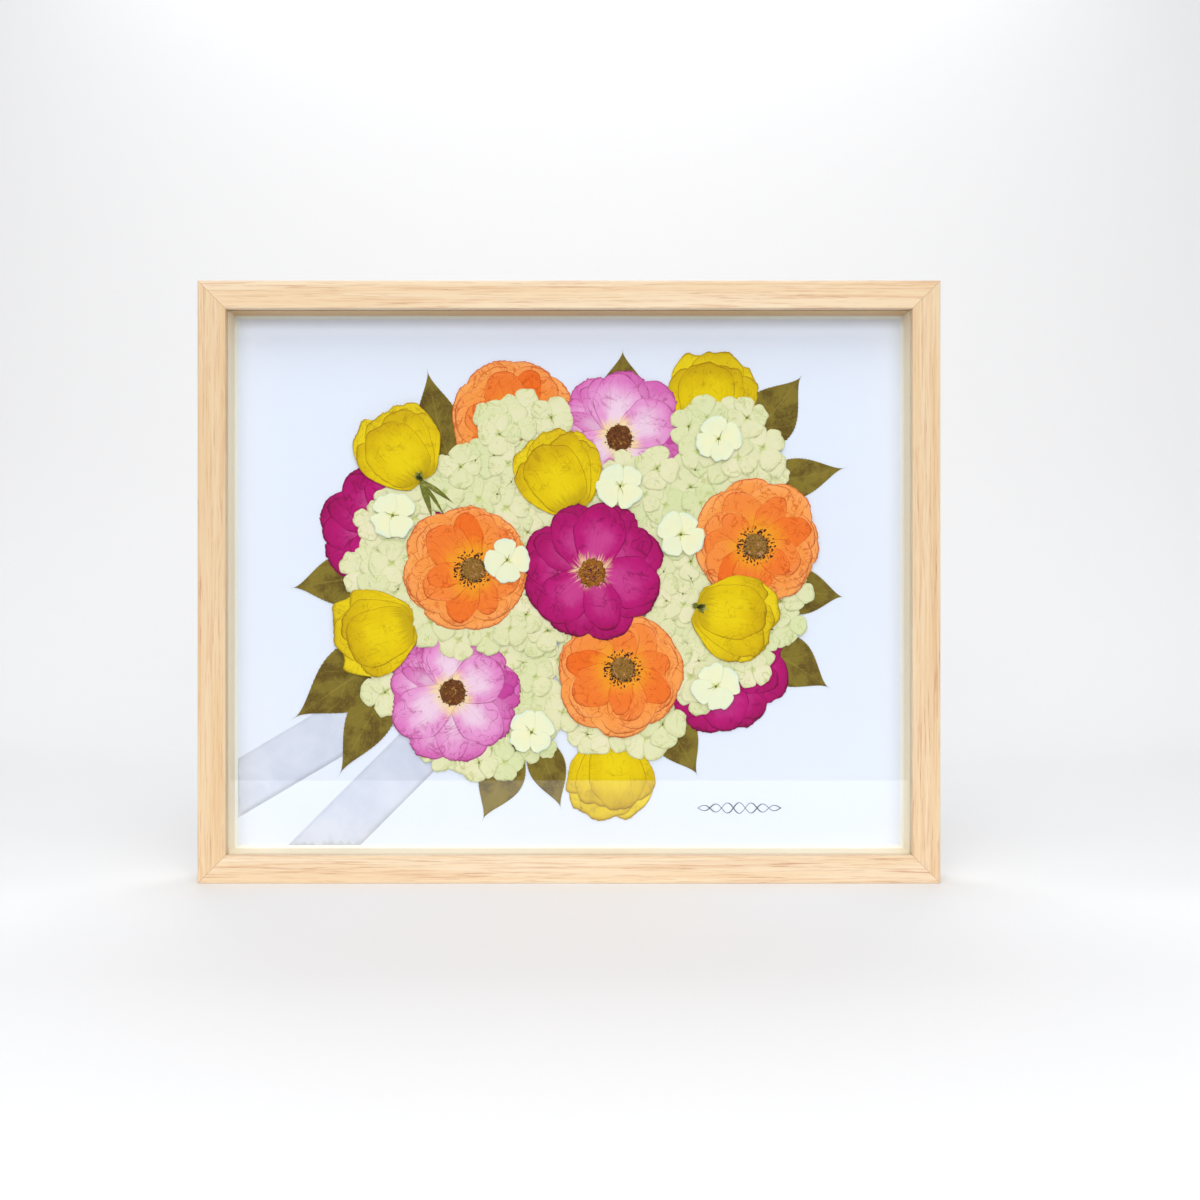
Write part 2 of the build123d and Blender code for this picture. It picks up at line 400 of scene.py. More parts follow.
@dataclass(frozen=True)
class PressedFibre:
    """Brown hardboard with short fibres pressed every way."""

    base: Colour = rgb(134, 96, 62)
    dark: Colour = rgb(96, 64, 40)
    light: Colour = rgb(166, 126, 86)

    def material(self) -> bpy.types.Material:
        """Make the hardboard."""
        recipe = Recipe("hardboard")
        places = recipe.places()
        cloud = recipe.noise(places, 55, detail=5, roughness=0.7)
        one_way = recipe.noise(recipe.mapped(places, (1500, 300, 260)), detail=3, distortion=0.8)
        other_way = recipe.noise(recipe.mapped(places, (260, 300, 1500), (3, 1, 7)), detail=3,
                                 distortion=0.8)
        fibres = one_way.most(other_way)
        colour = recipe.mix(self.base, self.dark, recipe.rise(cloud, 0.35, 0.75) * 0.22)
        colour = recipe.mix(colour, self.light, recipe.rise(fibres, 0.56, 0.8) * 0.7)
        return recipe.solid(colour, 0.5 + fibres * 0.25, recipe.bump(fibres, 0.3, 0.06 * MM))


@dataclass(frozen=True)
class PlatedSteel:
    """Pressed steel with a plated, faintly clouded surface."""

    name: str
    base: Colour
    cloud: Colour
    roughness: float = 0.28

    def material(self) -> bpy.types.Material:
        """Make the metal."""
        recipe = Recipe(self.name)
        places = recipe.places()
        clouds = recipe.noise(places, 160, detail=4, roughness=0.6)
        drawn = recipe.noise(recipe.mapped(places, (900, 900, 5200)), detail=2)
        colour = recipe.mix(self.base, self.cloud, recipe.rise(clouds, 0.35, 0.75))
        roughness = self.roughness + clouds * 0.16 + drawn * 0.08
        return recipe.solid(colour, roughness, recipe.bump(drawn, 0.08, 0.02 * MM), Metallic=1.0)


@dataclass(frozen=True)
class SoftRubber:
    """Dark bumper rubber with a bloom of dust."""

    base: Colour = rgb(38, 38, 40)
    dust: Colour = rgb(86, 84, 82)

    def material(self) -> bpy.types.Material:
        """Make the rubber."""
        recipe = Recipe("bumper_rubber")
        grit = recipe.noise(recipe.places(), 1500, detail=4, roughness=0.7)
        colour = recipe.mix(self.base, self.dust, recipe.rise(grit, 0.55, 0.85) * 0.35)
        return recipe.solid(colour, 0.6 + grit * 0.25, recipe.bump(grit, 0.2, 0.03 * MM))


@dataclass(frozen=True)
class PetalFinish:
    """Dried petal, coloured from throat to rim with veins that fan from the base."""

    name: str
    throat: Colour
    pale: Colour
    body: Colour
    rim: Colour
    deep: Colour
    edge: Colour
    throat_end: float = 0.35
    pale_share: float = 0.5
    rim_start: float = 0.7
    edge_width: float = 0.035
    edge_share: float = 0.7
    vein_share: float = 0.35
    veins: float = 26.0
    crease_shade_share: float = 0.3
    creases: float = 120.0

    def material(self) -> bpy.types.Material:
        """Make the petal."""
        recipe = Recipe(self.name)
        across, along, _ = recipe.parts(recipe.cut_places())
        tint = recipe.attribute("tint")
        places = recipe.places()
        side = (across - 0.5).size() * 2.0
        wander = recipe.noise(places, 70, detail=4, roughness=0.6)
        sway = wander - 0.5
        tone = along + sway * 0.5
        inward = 1.0 - recipe.rise(side + sway, 0.15, 0.9)
        middle = inward * (1.0 - recipe.rise(tone, 0.45, 0.85))
        colour = recipe.mix(self.body, self.pale, middle * self.pale_share)
        colour = recipe.mix(colour, self.rim, recipe.rise(tone, self.rim_start, 1.05))
        # Each petal's tint deepens its colour. Where a bloom gives its inner petals more tint,
        # that is partly their own deeper colour and partly painted shade for the darker look of
        # translucent petals that lie over others.
        colour = recipe.mix(colour, self.deep, tint)
        fan_places = recipe.joined(across * self.veins, along * 2.2, tint * 9.0)
        fan = recipe.noise(fan_places, detail=4, roughness=0.6, distortion=0.3)
        colour = recipe.mix(colour, self.edge, recipe.rise(fan, 0.54, 0.8) * self.vein_share)
        streaky = along + (fan - 0.5) * 0.6
        throat = 1.0 - recipe.rise(streaky, self.throat_end * 0.4, self.throat_end)
        colour = recipe.mix(colour, self.throat, throat * 0.9)
        # Painted shade: the creases are darkened in the edge colour, standing in for the shade in
        # a fold; the same crease mask also dents the bump.
        folds = recipe.noise(places, self.creases, detail=3, distortion=1.2)
        crease = 1.0 - recipe.rise((folds - 0.5).size(), 0.0, 0.03)
        crease_dent_and_shade = crease * recipe.rise(wander + along * 0.25, 0.5, 0.75)
        colour = recipe.mix(colour, self.edge, crease_dent_and_shade * self.crease_shade_share)
        border = (1.0 - side).least((1.0 - along) * 1.2) + sway * 0.05
        line = 1.0 - recipe.rise(border, self.edge_width * 0.2, self.edge_width)
        line = line * (0.45 + recipe.rise(wander, 0.35, 0.6) * 0.55)
        colour = recipe.mix(colour, self.edge, line * self.edge_share)
        height = fan * 0.7 - crease_dent_and_shade * 0.6 + wander * 0.3
        return recipe.solid(colour, 0.55 + fan * 0.2, recipe.bump(height, 0.35, 0.08 * MM),
                            Specular_IOR_Level=0.25)


@dataclass(frozen=True)
class LeafFinish:
    """Dried olive leaf with a midrib, side veins and brown mottling."""

    base: Colour = rgb(126, 110, 38)
    dark: Colour = rgb(88, 68, 20)
    light: Colour = rgb(146, 130, 50)
    vein: Colour = rgb(158, 138, 60)

    def material(self) -> bpy.types.Material:
        """Make the leaf."""
        recipe = Recipe("olive_leaf")
        across, along, _ = recipe.parts(recipe.cut_places())
        tint = recipe.attribute("tint")
        places = recipe.places()
        mottle = recipe.noise(places, 70, detail=5, roughness=0.65)
        speck = recipe.noise(places, 520, detail=3, roughness=0.7)
        side = (across - 0.5).size() * 2.0
        colour = recipe.mix(self.base, self.light, tint)
        colour = recipe.mix(colour, self.dark, recipe.rise(mottle, 0.42, 0.62) * 0.85)
        colour = recipe.mix(colour, self.light, recipe.rise(speck, 0.52, 0.72) * 0.55)
        rows = along * 9.0 - side * 2.6 + (mottle - 0.5) * 0.9
        ridge = (recipe.out("ShaderNodeMath", {"operation": "FRACT"}, {0: rows}) - 0.5).size()
        side_vein = 1.0 - recipe.rise(ridge, 0.015, 0.06)
        rib = 1.0 - recipe.rise(side + (mottle - 0.5) * 0.02, 0.015, 0.05)
        net = recipe.cells(places, 420, "DISTANCE_TO_EDGE")
        mesh = 1.0 - recipe.rise(net, 0.0, 0.08)
        colour = recipe.mix(colour, self.vein, side_vein * 0.35 + rib * 0.4 + mesh * 0.16)
        border = (1.0 - side).least(1.0 - along)
        colour = recipe.mix(colour, self.vein, (1.0 - recipe.rise(border, 0.0, 0.05)) * 0.5)
        height = mesh * 0.4 + side_vein * 0.7 + rib - speck * 0.3
        return recipe.solid(colour, 0.5 + mottle * 0.2, recipe.bump(height, 0.35, 0.1 * MM),
                            Specular_IOR_Level=0.35)


@dataclass(frozen=True)
class HeartFinish:
    """Crowded stamens or a seed head, speckled from dark to light."""

    name: str
    dark: Colour
    base: Colour
    light: Colour
    grain: float = 900.0

    def material(self) -> bpy.types.Material:
        """Make the flower's middle."""
        recipe = Recipe(self.name)
        places = recipe.places()
        tint = recipe.attribute("tint")
        speck = recipe.noise(places, self.grain, detail=4, roughness=0.7)
        clump = recipe.noise(places, self.grain * 0.35, detail=3)
        colour = recipe.mix(self.dark, self.base, recipe.rise(speck + (tint - 0.5) * 0.5,
                                                              0.38, 0.55))
        colour = recipe.mix(colour, self.light, recipe.rise(clump + (speck - 0.5) * 0.5,
                                                            0.55, 0.75))
        return recipe.solid(colour, 0.6 + speck * 0.2, recipe.bump(speck, 0.6, 0.2 * MM))


@dataclass(frozen=True)
class SheerRibbon:
    """Sheer ribbon in a fine plain weave, mottled where it has creased."""

    base: Colour = rgb(219, 225, 241)
    shade: Colour = rgb(203, 211, 230)

    def material(self) -> bpy.types.Material:
        """Make the ribbon."""
        recipe = Recipe("sheer_ribbon")
        places = recipe.places()
        folds = recipe.noise(places, 34, detail=4, roughness=0.6, distortion=0.6)
        across, along, _ = recipe.parts(recipe.cut_places())
        warp = recipe.out("ShaderNodeMath", {"operation": "SINE"}, {0: across * 900.0})
        weft = recipe.out("ShaderNodeMath", {"operation": "SINE"}, {0: along * 4200.0})
        weave = warp * weft
        colour = recipe.mix(self.base, self.shade, recipe.rise(folds, 0.35, 0.7) * 0.8)
        colour = recipe.mix(colour, self.shade, recipe.rise(weave, -0.6, 1.0) * 0.15)
        return recipe.solid(colour, 0.5 + folds * 0.2,
                            recipe.bump(folds + weave * 0.05, 0.25, 0.2 * MM), Sheen_Weight=0.15)


@dataclass(frozen=True)
class DriedInk:
    """Grey-violet ink, a little uneven where the nib slowed."""

    base: Colour = rgb(70, 66, 84)
    thin: Colour = rgb(104, 100, 120)

    def material(self) -> bpy.types.Material:
        """Make the ink."""
        recipe = Recipe("dried_ink")
        flow = recipe.noise(recipe.places(), 600, detail=3)
        colour = recipe.mix(self.base, self.thin, recipe.rise(flow, 0.45, 0.7))
        return recipe.solid(colour, 0.5 + flow * 0.2)


@dataclass(frozen=True)
class StudioPaper:
    """Seamless paper: white in front, painted shade round and behind the frame's foot, and painted
    light that brightens it towards the top.
    """

    # The white is tinted blue: painted light that cancels the warm light bounced from the wood
    # onto the table.
    white: Colour = (0.95, 0.963, 0.98, 1.0)
    painted_foot_shade: Colour = (0.89, 0.895, 0.902, 1.0)
    wall: Colour = (0.92, 0.922, 0.928, 1.0)
    clear: Colour = (0.93, 0.93, 0.933, 1.0)

    def material(self) -> bpy.types.Material:
        """Make the paper."""
        recipe = Recipe("studio_paper")
        _, depth, height = recipe.parts(recipe.places())
        cloud = recipe.noise(recipe.places(), 1.5, detail=3)
        front, back = cad_box[0].y, cad_box[1].y
        # Painted shade: the table darkens from just in front of the frame to its back, standing in
        # for the frame's shade round its foot; further back it turns to the wall colour.
        table = recipe.mix(self.white, self.painted_foot_shade, recipe.rise(depth, front - 0.1, back))
        table = recipe.mix(table, self.wall, recipe.rise(depth, back + 0.2, back + 0.9))
        # Painted light: the paper grows lighter towards the top.
        painted_top_light = recipe.rise(height + (cloud - 0.5) * 0.1, 0.0, 0.9)
        colour = recipe.mix(table, self.clear, painted_top_light)
        return recipe.solid(colour, 0.85, Specular_IOR_Level=0.1)


@dataclass(frozen=True)
class FlagCloth:
    """Dull dark cloth, hung behind the camera so that the glass mirrors little."""

    base: Colour = (0.02, 0.02, 0.022, 1.0)
    lint: Colour = (0.035, 0.035, 0.036, 1.0)

    def material(self) -> bpy.types.Material:
        """Make the cloth."""
        recipe = Recipe("flag_cloth")
        lint = recipe.noise(recipe.places(), 60, detail=3)
        return recipe.solid(recipe.mix(self.base, self.lint, lint), 0.95)


# ------------------------------------------------------------------ making pieces


def in_scene(name: str, data: bpy.types.ID) -> bpy.types.Object:
    """Make an object of some data and link it to the scene."""
    made = bpy.data.objects.new(name, data)
    bpy.context.scene.collection.objects.link(made)
    return made


def piece_from(name: str, shape: bmesh.types.BMesh, material: bpy.types.Material,
               thickness: Optional[float] = None) -> bpy.types.Object:
    """Turn a finished bmesh into an object at the origin.

    Args:
        name: The piece's name.
        shape: The bmesh, freed here.
        material: Its finish.
        thickness: Depth given to an open sheet, behind its front.

    Returns:
        The object.
    """
    data = bpy.data.meshes.new(name)
    shape.to_mesh(data)
    shape.free()
    data.shade_smooth()
    data.materials.append(material)
    made = in_scene(name, data)
    if thickness:
        solid = made.modifiers.new("thickness", "SOLIDIFY")
        solid.thickness = thickness
        solid.offset = -1.0
    return made


def flat_grid(columns: int, rows: int) -> tuple[bmesh.types.BMesh, list[bmesh.types.BMVert]]:
    """A new bmesh with one flat grid from -1 to 1 both ways, and its UV map.

    Args:
        columns: Squares along x.
        rows: Squares along y.

    Returns:
        The bmesh and its vertices.
    """
    shape = bmesh.new()
    shape.loops.layers.uv.new("UVMap")
    verts = bmesh.ops.create_grid(shape, x_segments=columns, y_segments=rows, size=1.0,
                                  calc_uvs=True)["verts"]
    return shape, verts


class PressedStack:
    """Petals, sepals, leaves and lumps, laid flat over each other in one mesh."""

    def __init__(self) -> None:
        """Start an empty mesh with its UV map and tint."""
        self.shape = bmesh.new()
        self.shape.loops.layers.uv.new("UVMap")
        self.tint = self.shape.verts.layers.float.new("tint")

    def cut(self, columns: int, rows: int, outline: Callable[[float, float], Vector],
            place: Matrix, tint: float) -> None:
        """Cut one sheet.

        Args:
            columns: Grid squares across.
            rows: Grid squares from base to tip.
            outline: Where a point at (across -1 to 1, along 0 to 1) goes.
            place: Turn and shift onto the stack.
            tint: The sheet's own shade.
        """
        made = bmesh.ops.create_grid(self.shape, x_segments=columns, y_segments=rows,
                                     size=1.0, calc_uvs=True)["verts"]
        for vert in made:
            vert.co = outline(vert.co.x, (vert.co.y + 1) / 2)
            vert[self.tint] = tint
        bmesh.ops.transform(self.shape, matrix=place, verts=made)

    def raised(self, x: float, y: float, z: float) -> bmesh.types.BMesh:
        """Stand the flat stack upright, facing the front, at a place in the frame."""
        move = Matrix.Translation((x, y, z)) @ UPRIGHT
        bmesh.ops.transform(self.shape, matrix=move, verts=self.shape.verts[:])
        return self.shape


def turned(degrees: float, reach: float = 0.0, level: float = 0.0,
           x: float = 0.0, y: float = 0.0) -> Matrix:
    """A place for a sheet drawn base to tip along +Y.

    Args:
        degrees: The heading of its tip, counted from +X.
        reach: How far out its base starts.
        level: Its height in the stack.
        x: The middle it fans from.
        y: The middle it fans from.

    Returns:
        The matrix that puts it there.
    """
    spin = Matrix.Rotation(math.radians(degrees - 90), 4, "Z")
    return Matrix.Translation((x, y, level)) @ spin @ Matrix.Translation((0, reach, 0))


@dataclass(frozen=True)
class PetalCut:
    """The outline of a petal."""

    length: float
    width: float
    waist: float = 0.28
    shoulder: float = 0.34
    ruffle: float = 0.03
    tear: float = 0.012
    seed: float = 0.0
    belly: float = 0.8

    def __call__(self, across: float, along: float) -> Vector:
        """Where a point of the grid goes.

        Args:
            across: -1 to 1.
            along: 0 at the base, 1 at the rim.

        Returns:
            The point on the petal, which points along +Y.
        """
        bow = math.sin(0.5 * math.pi * along ** self.belly) ** 0.9
        swell = self.waist + (1 - self.waist) * bow
        swell *= 1 - 0.10 * along ** 6
        x = across * 0.5 * self.width * swell
        y = along * self.length * (1 - self.shoulder * abs(across) ** 2.6 * along)
        wave = noise.noise(Vector((across * 1.6, along * 1.2, self.seed)))
        notch = noise.noise(Vector((across * 11.0, along * 9.0, self.seed + 5.0)))
        rimward = max(along, abs(across)) ** 5
        y += self.length * (self.ruffle * wave * along ** 2 + self.tear * notch * rimward)
        x += self.width * (0.5 * self.ruffle * wave + self.tear * notch * rimward)
        return Vector((x, y, 0))


@dataclass(frozen=True)
class LeafCut:
    """The outline of a pointed, finely toothed leaf."""

    length: float
    width: float
    bend: float = 0.0
    point: float = 0.035
    seed: float = 0.0

    def __call__(self, across: float, along: float) -> Vector:
        """Where a point of the grid goes on the leaf."""
        body = min(1.0, along / (1 - self.point))
        half = 0.5 * self.width * max(0.0, math.sin(math.pi * body ** 0.8)) ** (0.72 + 0.75 * body)
        thorn = 0.022 * self.width * (1.05 - along)
        teeth = 1 + 0.022 * math.sin(along * 170 + self.seed) * abs(across) ** 4
        x = across * max(half, thorn) * teeth
        x += self.bend * self.length * (along - 0.5) ** 2
        return Vector((x, along * self.length, 0))


# ------------------------------------------------------------------ the bouquet


ORANGE = PetalFinish(
    "orange_petals", throat=rgb(243, 162, 36), pale=rgb(250, 176, 88), body=rgb(249, 162, 78),
    rim=rgb(252, 172, 100), deep=rgb(240, 110, 32), edge=rgb(208, 74, 10), throat_end=0.66,
    pale_share=0.5, rim_start=0.78, edge_width=0.035, edge_share=0.85, vein_share=0.42,
    veins=34, crease_shade_share=0.7, creases=85)
PINK = PetalFinish(
    "pink_petals", throat=rgb(245, 222, 158), pale=rgb(243, 220, 238), body=rgb(232, 156, 212),
    rim=rgb(222, 116, 192), deep=rgb(196, 62, 156), edge=rgb(158, 34, 104), throat_end=0.36,
    pale_share=0.85, rim_start=0.75, edge_width=0.035, edge_share=0.75, vein_share=0.46,
    veins=36, crease_shade_share=0.5, creases=70)
MAGENTA = PetalFinish(
    "magenta_petals", throat=rgb(240, 208, 160), pale=rgb(208, 74, 152), body=rgb(190, 22, 120),
    rim=rgb(170, 16, 100), deep=rgb(156, 16, 90), edge=rgb(112, 10, 62), throat_end=0.27,
    pale_share=0.8, rim_start=0.7, edge_width=0.045, edge_share=0.9, vein_share=0.5,
    veins=32, crease_shade_share=0.6, creases=65)
YELLOW = PetalFinish(
    "yellow_petals", throat=rgb(196, 166, 14), pale=rgb(238, 214, 16), body=rgb(228, 198, 6),
    rim=rgb(204, 168, 6), deep=rgb(240, 216, 30), edge=rgb(160, 120, 2), throat_end=0.24,
    pale_share=0.7, rim_start=0.6, edge_width=0.035, edge_share=0.85, vein_share=0.6,
    veins=52, crease_shade_share=0.4, creases=75)
SEPAL = PetalFinish(
    "hydrangea_sepals", throat=rgb(200, 212, 132), pale=rgb(240, 234, 203),
    body=rgb(236, 232, 193), rim=rgb(230, 233, 184), deep=rgb(216, 226, 172),
    edge=rgb(182, 192, 104), throat_end=0.12, pale_share=0.7, rim_start=0.85,
    edge_width=0.03, edge_share=0.12, vein_share=0.3, veins=14, crease_shade_share=0.6, creases=90)
FLORET = PetalFinish(
    "floret_sepals", throat=rgb(206, 214, 110), pale=rgb(244, 243, 200), body=rgb(240, 244, 205),
    rim=rgb(222, 240, 226), deep=rgb(232, 242, 214), edge=rgb(214, 228, 196), throat_end=0.1,
    pale_share=0.8, rim_start=0.8, edge_width=0.06, edge_share=0.35, vein_share=0.2, veins=16,
    crease_shade_share=0.2, creases=110)
ROUGH_BROWN = HeartFinish("brown_seed_head", rgb(70, 34, 14), rgb(120, 68, 22), rgb(196, 150, 62))
GOLDEN = HeartFinish("golden_anthers", rgb(120, 66, 10), rgb(168, 108, 26), rgb(206, 150, 60))
PURPLE = HeartFinish("purple_pistils", rgb(60, 10, 36), rgb(110, 34, 66), rgb(224, 184, 150))
OLIVE_HEAD = HeartFinish("olive_seed_head", rgb(108, 76, 24), rgb(152, 112, 42),
                         rgb(202, 150, 104))
DARK_TIPS = HeartFinish("dark_anthers", rgb(40, 10, 20), rgb(62, 18, 34), rgb(110, 60, 30))
GREEN = HeartFinish("green_calyx", rgb(108, 112, 38), rgb(144, 146, 58), rgb(178, 176, 96), 300)


class Finishes:
    """Makes each finish once and hands it out again."""

    def __init__(self) -> None:
        """Start with none made."""
        self.made: dict[Any, bpy.types.Material] = {}

    def of(self, finish: Any) -> bpy.types.Material:
        """The material of a finish."""
        if finish not in self.made:
            self.made[finish] = finish.material()
        return self.made[finish]


FINISHES = Finishes()


def seated(piece: bpy.types.Object, slot: str, *nodes: str) -> bpy.types.Object:
    """Let a piece ride on the frame, hide the CAD nodes that it replaces and log its slot.

    Args:
        piece: The new object.
        slot: The record's material slot.
        *nodes: CAD nodes that it replaces.

    Returns:
        The same piece.
    """
    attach(piece, FRAME_BODY)
    if nodes:
        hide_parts(*nodes)
    log.info("%s: %d faces, slot %s", piece.name, len(piece.data.polygons), slot)
    return piece


@dataclass(frozen=True)
class Petal:
    """One petal of a bloom: its heading, and its sizes as shares of the bloom's radius."""

    heading: float
    reach: float
    width: float
    tint: float = 0.0
    waist: float = 0.26
    shoulder: float = 0.34
    tear: float = 0.012


@dataclass(frozen=True)
class Bloom:
    """A pressed flower that lies in the place of one CAD node."""

    node: str
    turn: float = 0.0
    hub: tuple[float, float] = (0.0, 0.0)

    slot = "orange_petal"
    finish = ORANGE
    belly = 0.8
    ruffle = 0.03
    stack_depth = 0.34
    thickest = 0.03

    def middle(self) -> tuple[float, float, float, float]:
        """The bloom's middle x, its back y, its middle z and its radius."""
        low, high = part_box(self.node)
        return ((low.x + high.x) / 2, high.y, (low.z + high.z) / 2, (high.x - low.x) / 2)

    def hub_place(self) -> tuple[float, float, float, float]:
        """The middle of the heart: x, back y, z, and the bloom's radius."""
        x, y, z, radius = self.middle()
        return x + self.hub[0] * MM, y, z + self.hub[1] * MM, radius

    def petals(self) -> list[Petal]:
        """The petals, back to front."""
        raise NotImplementedError

    def span(self, heading: float, radius: float) -> float:
        """How far the bloom's rim is from the hub.

        Args:
            heading: Degrees from +X.
            radius: The bloom's radius.

        Returns:
            The distance in metres.
        """
        away = Vector((self.hub[0] * MM, self.hub[1] * MM))
        ray = Vector((math.cos(math.radians(heading)), math.sin(math.radians(heading))))
        lean = away.dot(ray)
        return -lean + math.sqrt(max(0.0, lean * lean - away.length_squared + radius ** 2))

    def petal_piece(self) -> bpy.types.Object:
        """Cut and stack the petals."""
        x, y, z, radius = self.hub_place()
        petals = self.petals()
        step = min(self.thickest, self.stack_depth / len(petals)) * MM
        stack = PressedStack()
        for level, petal in enumerate(petals):
            heading = petal.heading + self.turn
            cut = PetalCut(petal.reach * self.span(heading, radius), petal.width * radius,
                           petal.waist, petal.shoulder, self.ruffle, petal.tear,
                           seed=level * 3.7 + len(self.node), belly=self.belly)
            stack.cut(26, 14, cut, turned(heading, 0.0, (level + 0.7) * step), petal.tint)
        shape = stack.raised(x, y, z)
        return seated(piece_from(f"{self.node}_petals", shape, FINISHES.of(self.finish),
                                 step * 0.5), self.slot, self.node)

    def heart_pieces(self) -> None:
        """Add the heart, if the bloom has one."""

    def build(self) -> None:
        """Build the whole bloom."""
        self.petal_piece()
        self.heart_pieces()

    def beads(self, name: str, finish: Any, count: int, inner: float, outer: float,
              size: float, stretch: float, top: float, seed: int) -> bpy.types.Object:
        """Scatter small lumps in a ring round the hub.

        Args:
            name: The piece's name.
            finish: Its finish.
            count: How many lumps.
            inner: Inner radius of the ring.
            outer: Outer radius of the ring.
            size: Half the width of a lump.
            stretch: How much longer than wide it is, outwards.
            top: Height of the lumps' middles in the stack.
            seed: Seed of the scatter.

        Returns:
            The piece.
        """
        x, y, z, _ = self.hub_place()
        chance = random.Random(seed)
        stack = PressedStack()
        for _ in range(count):
            angle = chance.uniform(0, 360)
            out = math.sqrt(chance.uniform(inner ** 2, outer ** 2))
            big = size * chance.uniform(0.6, 1.25)
            lump = bmesh.ops.create_icosphere(stack.shape, subdivisions=1, radius=big)["verts"]
            shade = chance.random()
            for vert in lump:
                vert[stack.tint] = shade
                vert.co.y *= stretch * chance.uniform(0.85, 1.15)
                vert.co.z *= 0.05 * MM / big
            place = turned(angle + chance.uniform(-25, 25))
            middle = Matrix.Translation((math.cos(math.radians(angle)) * out,
                                         math.sin(math.radians(angle)) * out,
                                         top + chance.uniform(0, 0.02) * MM))
            bmesh.ops.transform(stack.shape, matrix=middle @ place, verts=lump)
        return seated(piece_from(name, stack.raised(x, y, z), FINISHES.of(finish)), self.slot)

    def pad(self, name: str, finish: Any, radius: float, ragged: float, top: float,
            seed: float) -> bpy.types.Object:
        """A lumpy pressed disc on the hub.

        Args:
            name: The piece's name.
            finish: Its finish.
            radius: Its mean radius.
            ragged: How uneven its rim is, as a share of the radius.
            top: Height of its back in the stack.
            seed: Seed of its unevenness.

        Returns:
            The piece.
        """
        x, y, z, _ = self.hub_place()
        stack = PressedStack()
        verts = bmesh.ops.create_icosphere(stack.shape, subdivisions=4, radius=1.0)["verts"]
        for vert in verts:
            rim = 1 + ragged * noise.noise(Vector((vert.co.x * 4, vert.co.y * 4, seed)))
            rim += 0.6 * ragged * noise.noise(Vector((vert.co.x * 14, vert.co.y * 14, seed)))
            lump = 1 + 0.5 * noise.noise(Vector((vert.co.x * 7, vert.co.y * 7, seed + 3)))
            vert.co = Vector((vert.co.x * rim * radius, vert.co.y * rim * radius,
                              top + 0.035 * MM * (1 + vert.co.z * lump)))
            vert[stack.tint] = 0.5
        return seated(piece_from(name, stack.raised(x, y, z), FINISHES.of(finish)), self.slot)


@dataclass(frozen=True)
class Ranunculus(Bloom):
    """Orange bloom: broad pale petals outside, deeper ones inside, dark anthers."""

    slot = "orange_petal"
    finish = ORANGE

    def petals(self) -> list[Petal]:
        """Two crinkled outer rings and ten deeper inner petals."""
        outer = [Petal(45 * k + 12, 1.0 - 0.02 * (k % 3), 0.98, 0.05 * (k % 4), 0.3, 0.2, 0.02)
                 for k in range(8)]
        second = [Petal(51 * k - 8, 0.94 - 0.04 * (k % 2), 0.8, 0.1 + 0.07 * (k % 3), 0.3, 0.28,
                        0.018) for k in range(7)]
        inner = [Petal(212, 0.9, 0.86, 0.16), Petal(345, 0.86, 0.72, 0.5),
                 Petal(24, 0.84, 0.7, 0.34), Petal(293, 0.8, 0.5, 0.72),
                 Petal(50, 0.84, 0.62, 0.62), Petal(252, 0.86, 0.56, 0.86),
                 Petal(76, 0.9, 0.64, 0.4), Petal(99, 0.86, 0.52, 0.95),
                 Petal(137, 0.82, 0.7, 0.76), Petal(205, 0.76, 0.62, 0.55),
                 Petal(192, 0.66, 0.42, 0.8), Petal(8, 0.66, 0.42, 0.66)]
        return outer + second + inner

    def heart_pieces(self) -> None:
        """A lumpy olive seed head in a ring of dark anthers."""
        radius = self.middle()[3]
        self.pad(f"{self.node}_seed_head", OLIVE_HEAD, 0.19 * radius, 0.12, 0.36 * MM, self.turn)
        self.beads(f"{self.node}_anthers", DARK_TIPS, 120, 0.17 * radius, 0.3 * radius,
                   0.55 * MM, 1.7, 0.43 * MM, 11)
        self.beads(f"{self.node}_filaments", OLIVE_HEAD, 60, 0.14 * radius, 0.22 * radius,
                   0.6 * MM, 1.8, 0.42 * MM, 23)


@dataclass(frozen=True)
class PinkRose(Bloom):
    """Pale pink bloom with a cream throat and a dark brown middle."""

    slot = "pink_petal"
    finish = PINK

    def petals(self) -> list[Petal]:
        """A torn outer ring, folded petals on the left and three broad ones in front."""
        outer = [Petal(40 * k + 5, 0.99 - 0.02 * (k % 3), 0.8, 0.18 + 0.1 * (k % 3), 0.25, 0.24,
                       0.03) for k in range(9)]
        crumpled = [Petal(12, 0.99, 0.46, 0.85, tear=0.03), Petal(-8, 0.98, 0.4, 0.7, tear=0.03),
                    Petal(2, 0.9, 0.34, 0.95, tear=0.03), Petal(-20, 0.94, 0.36, 0.5, tear=0.03)]
        folded = [Petal(146, 0.94, 0.5, 0.12), Petal(126, 0.92, 0.4, 0.2),
                  Petal(170, 0.96, 0.52, 0.1), Petal(155, 0.86, 0.3, 0.35),
                  Petal(112, 0.93, 0.56, 0.05), Petal(-90, 0.95, 0.56, 0.1)]
        front = [Petal(-47, 0.93, 0.72, 0.04, 0.3), Petal(93, 0.92, 0.76, 0.0, 0.28),
                 Petal(213, 0.97, 0.82, 0.02, 0.3), Petal(26, 0.82, 0.8, 0.04, 0.32)]
        return outer + crumpled + folded + front

    def heart_pieces(self) -> None:
        """A rough brown disc with golden anthers round it."""
        radius = self.middle()[3]
        self.pad(f"{self.node}_seed_head", ROUGH_BROWN, 0.19 * radius, 0.1, 0.36 * MM, 2.0)
        self.beads(f"{self.node}_anthers", ROUGH_BROWN, 130, 0.02 * radius, 0.215 * radius,
                   0.45 * MM, 1.8, 0.43 * MM, 31)


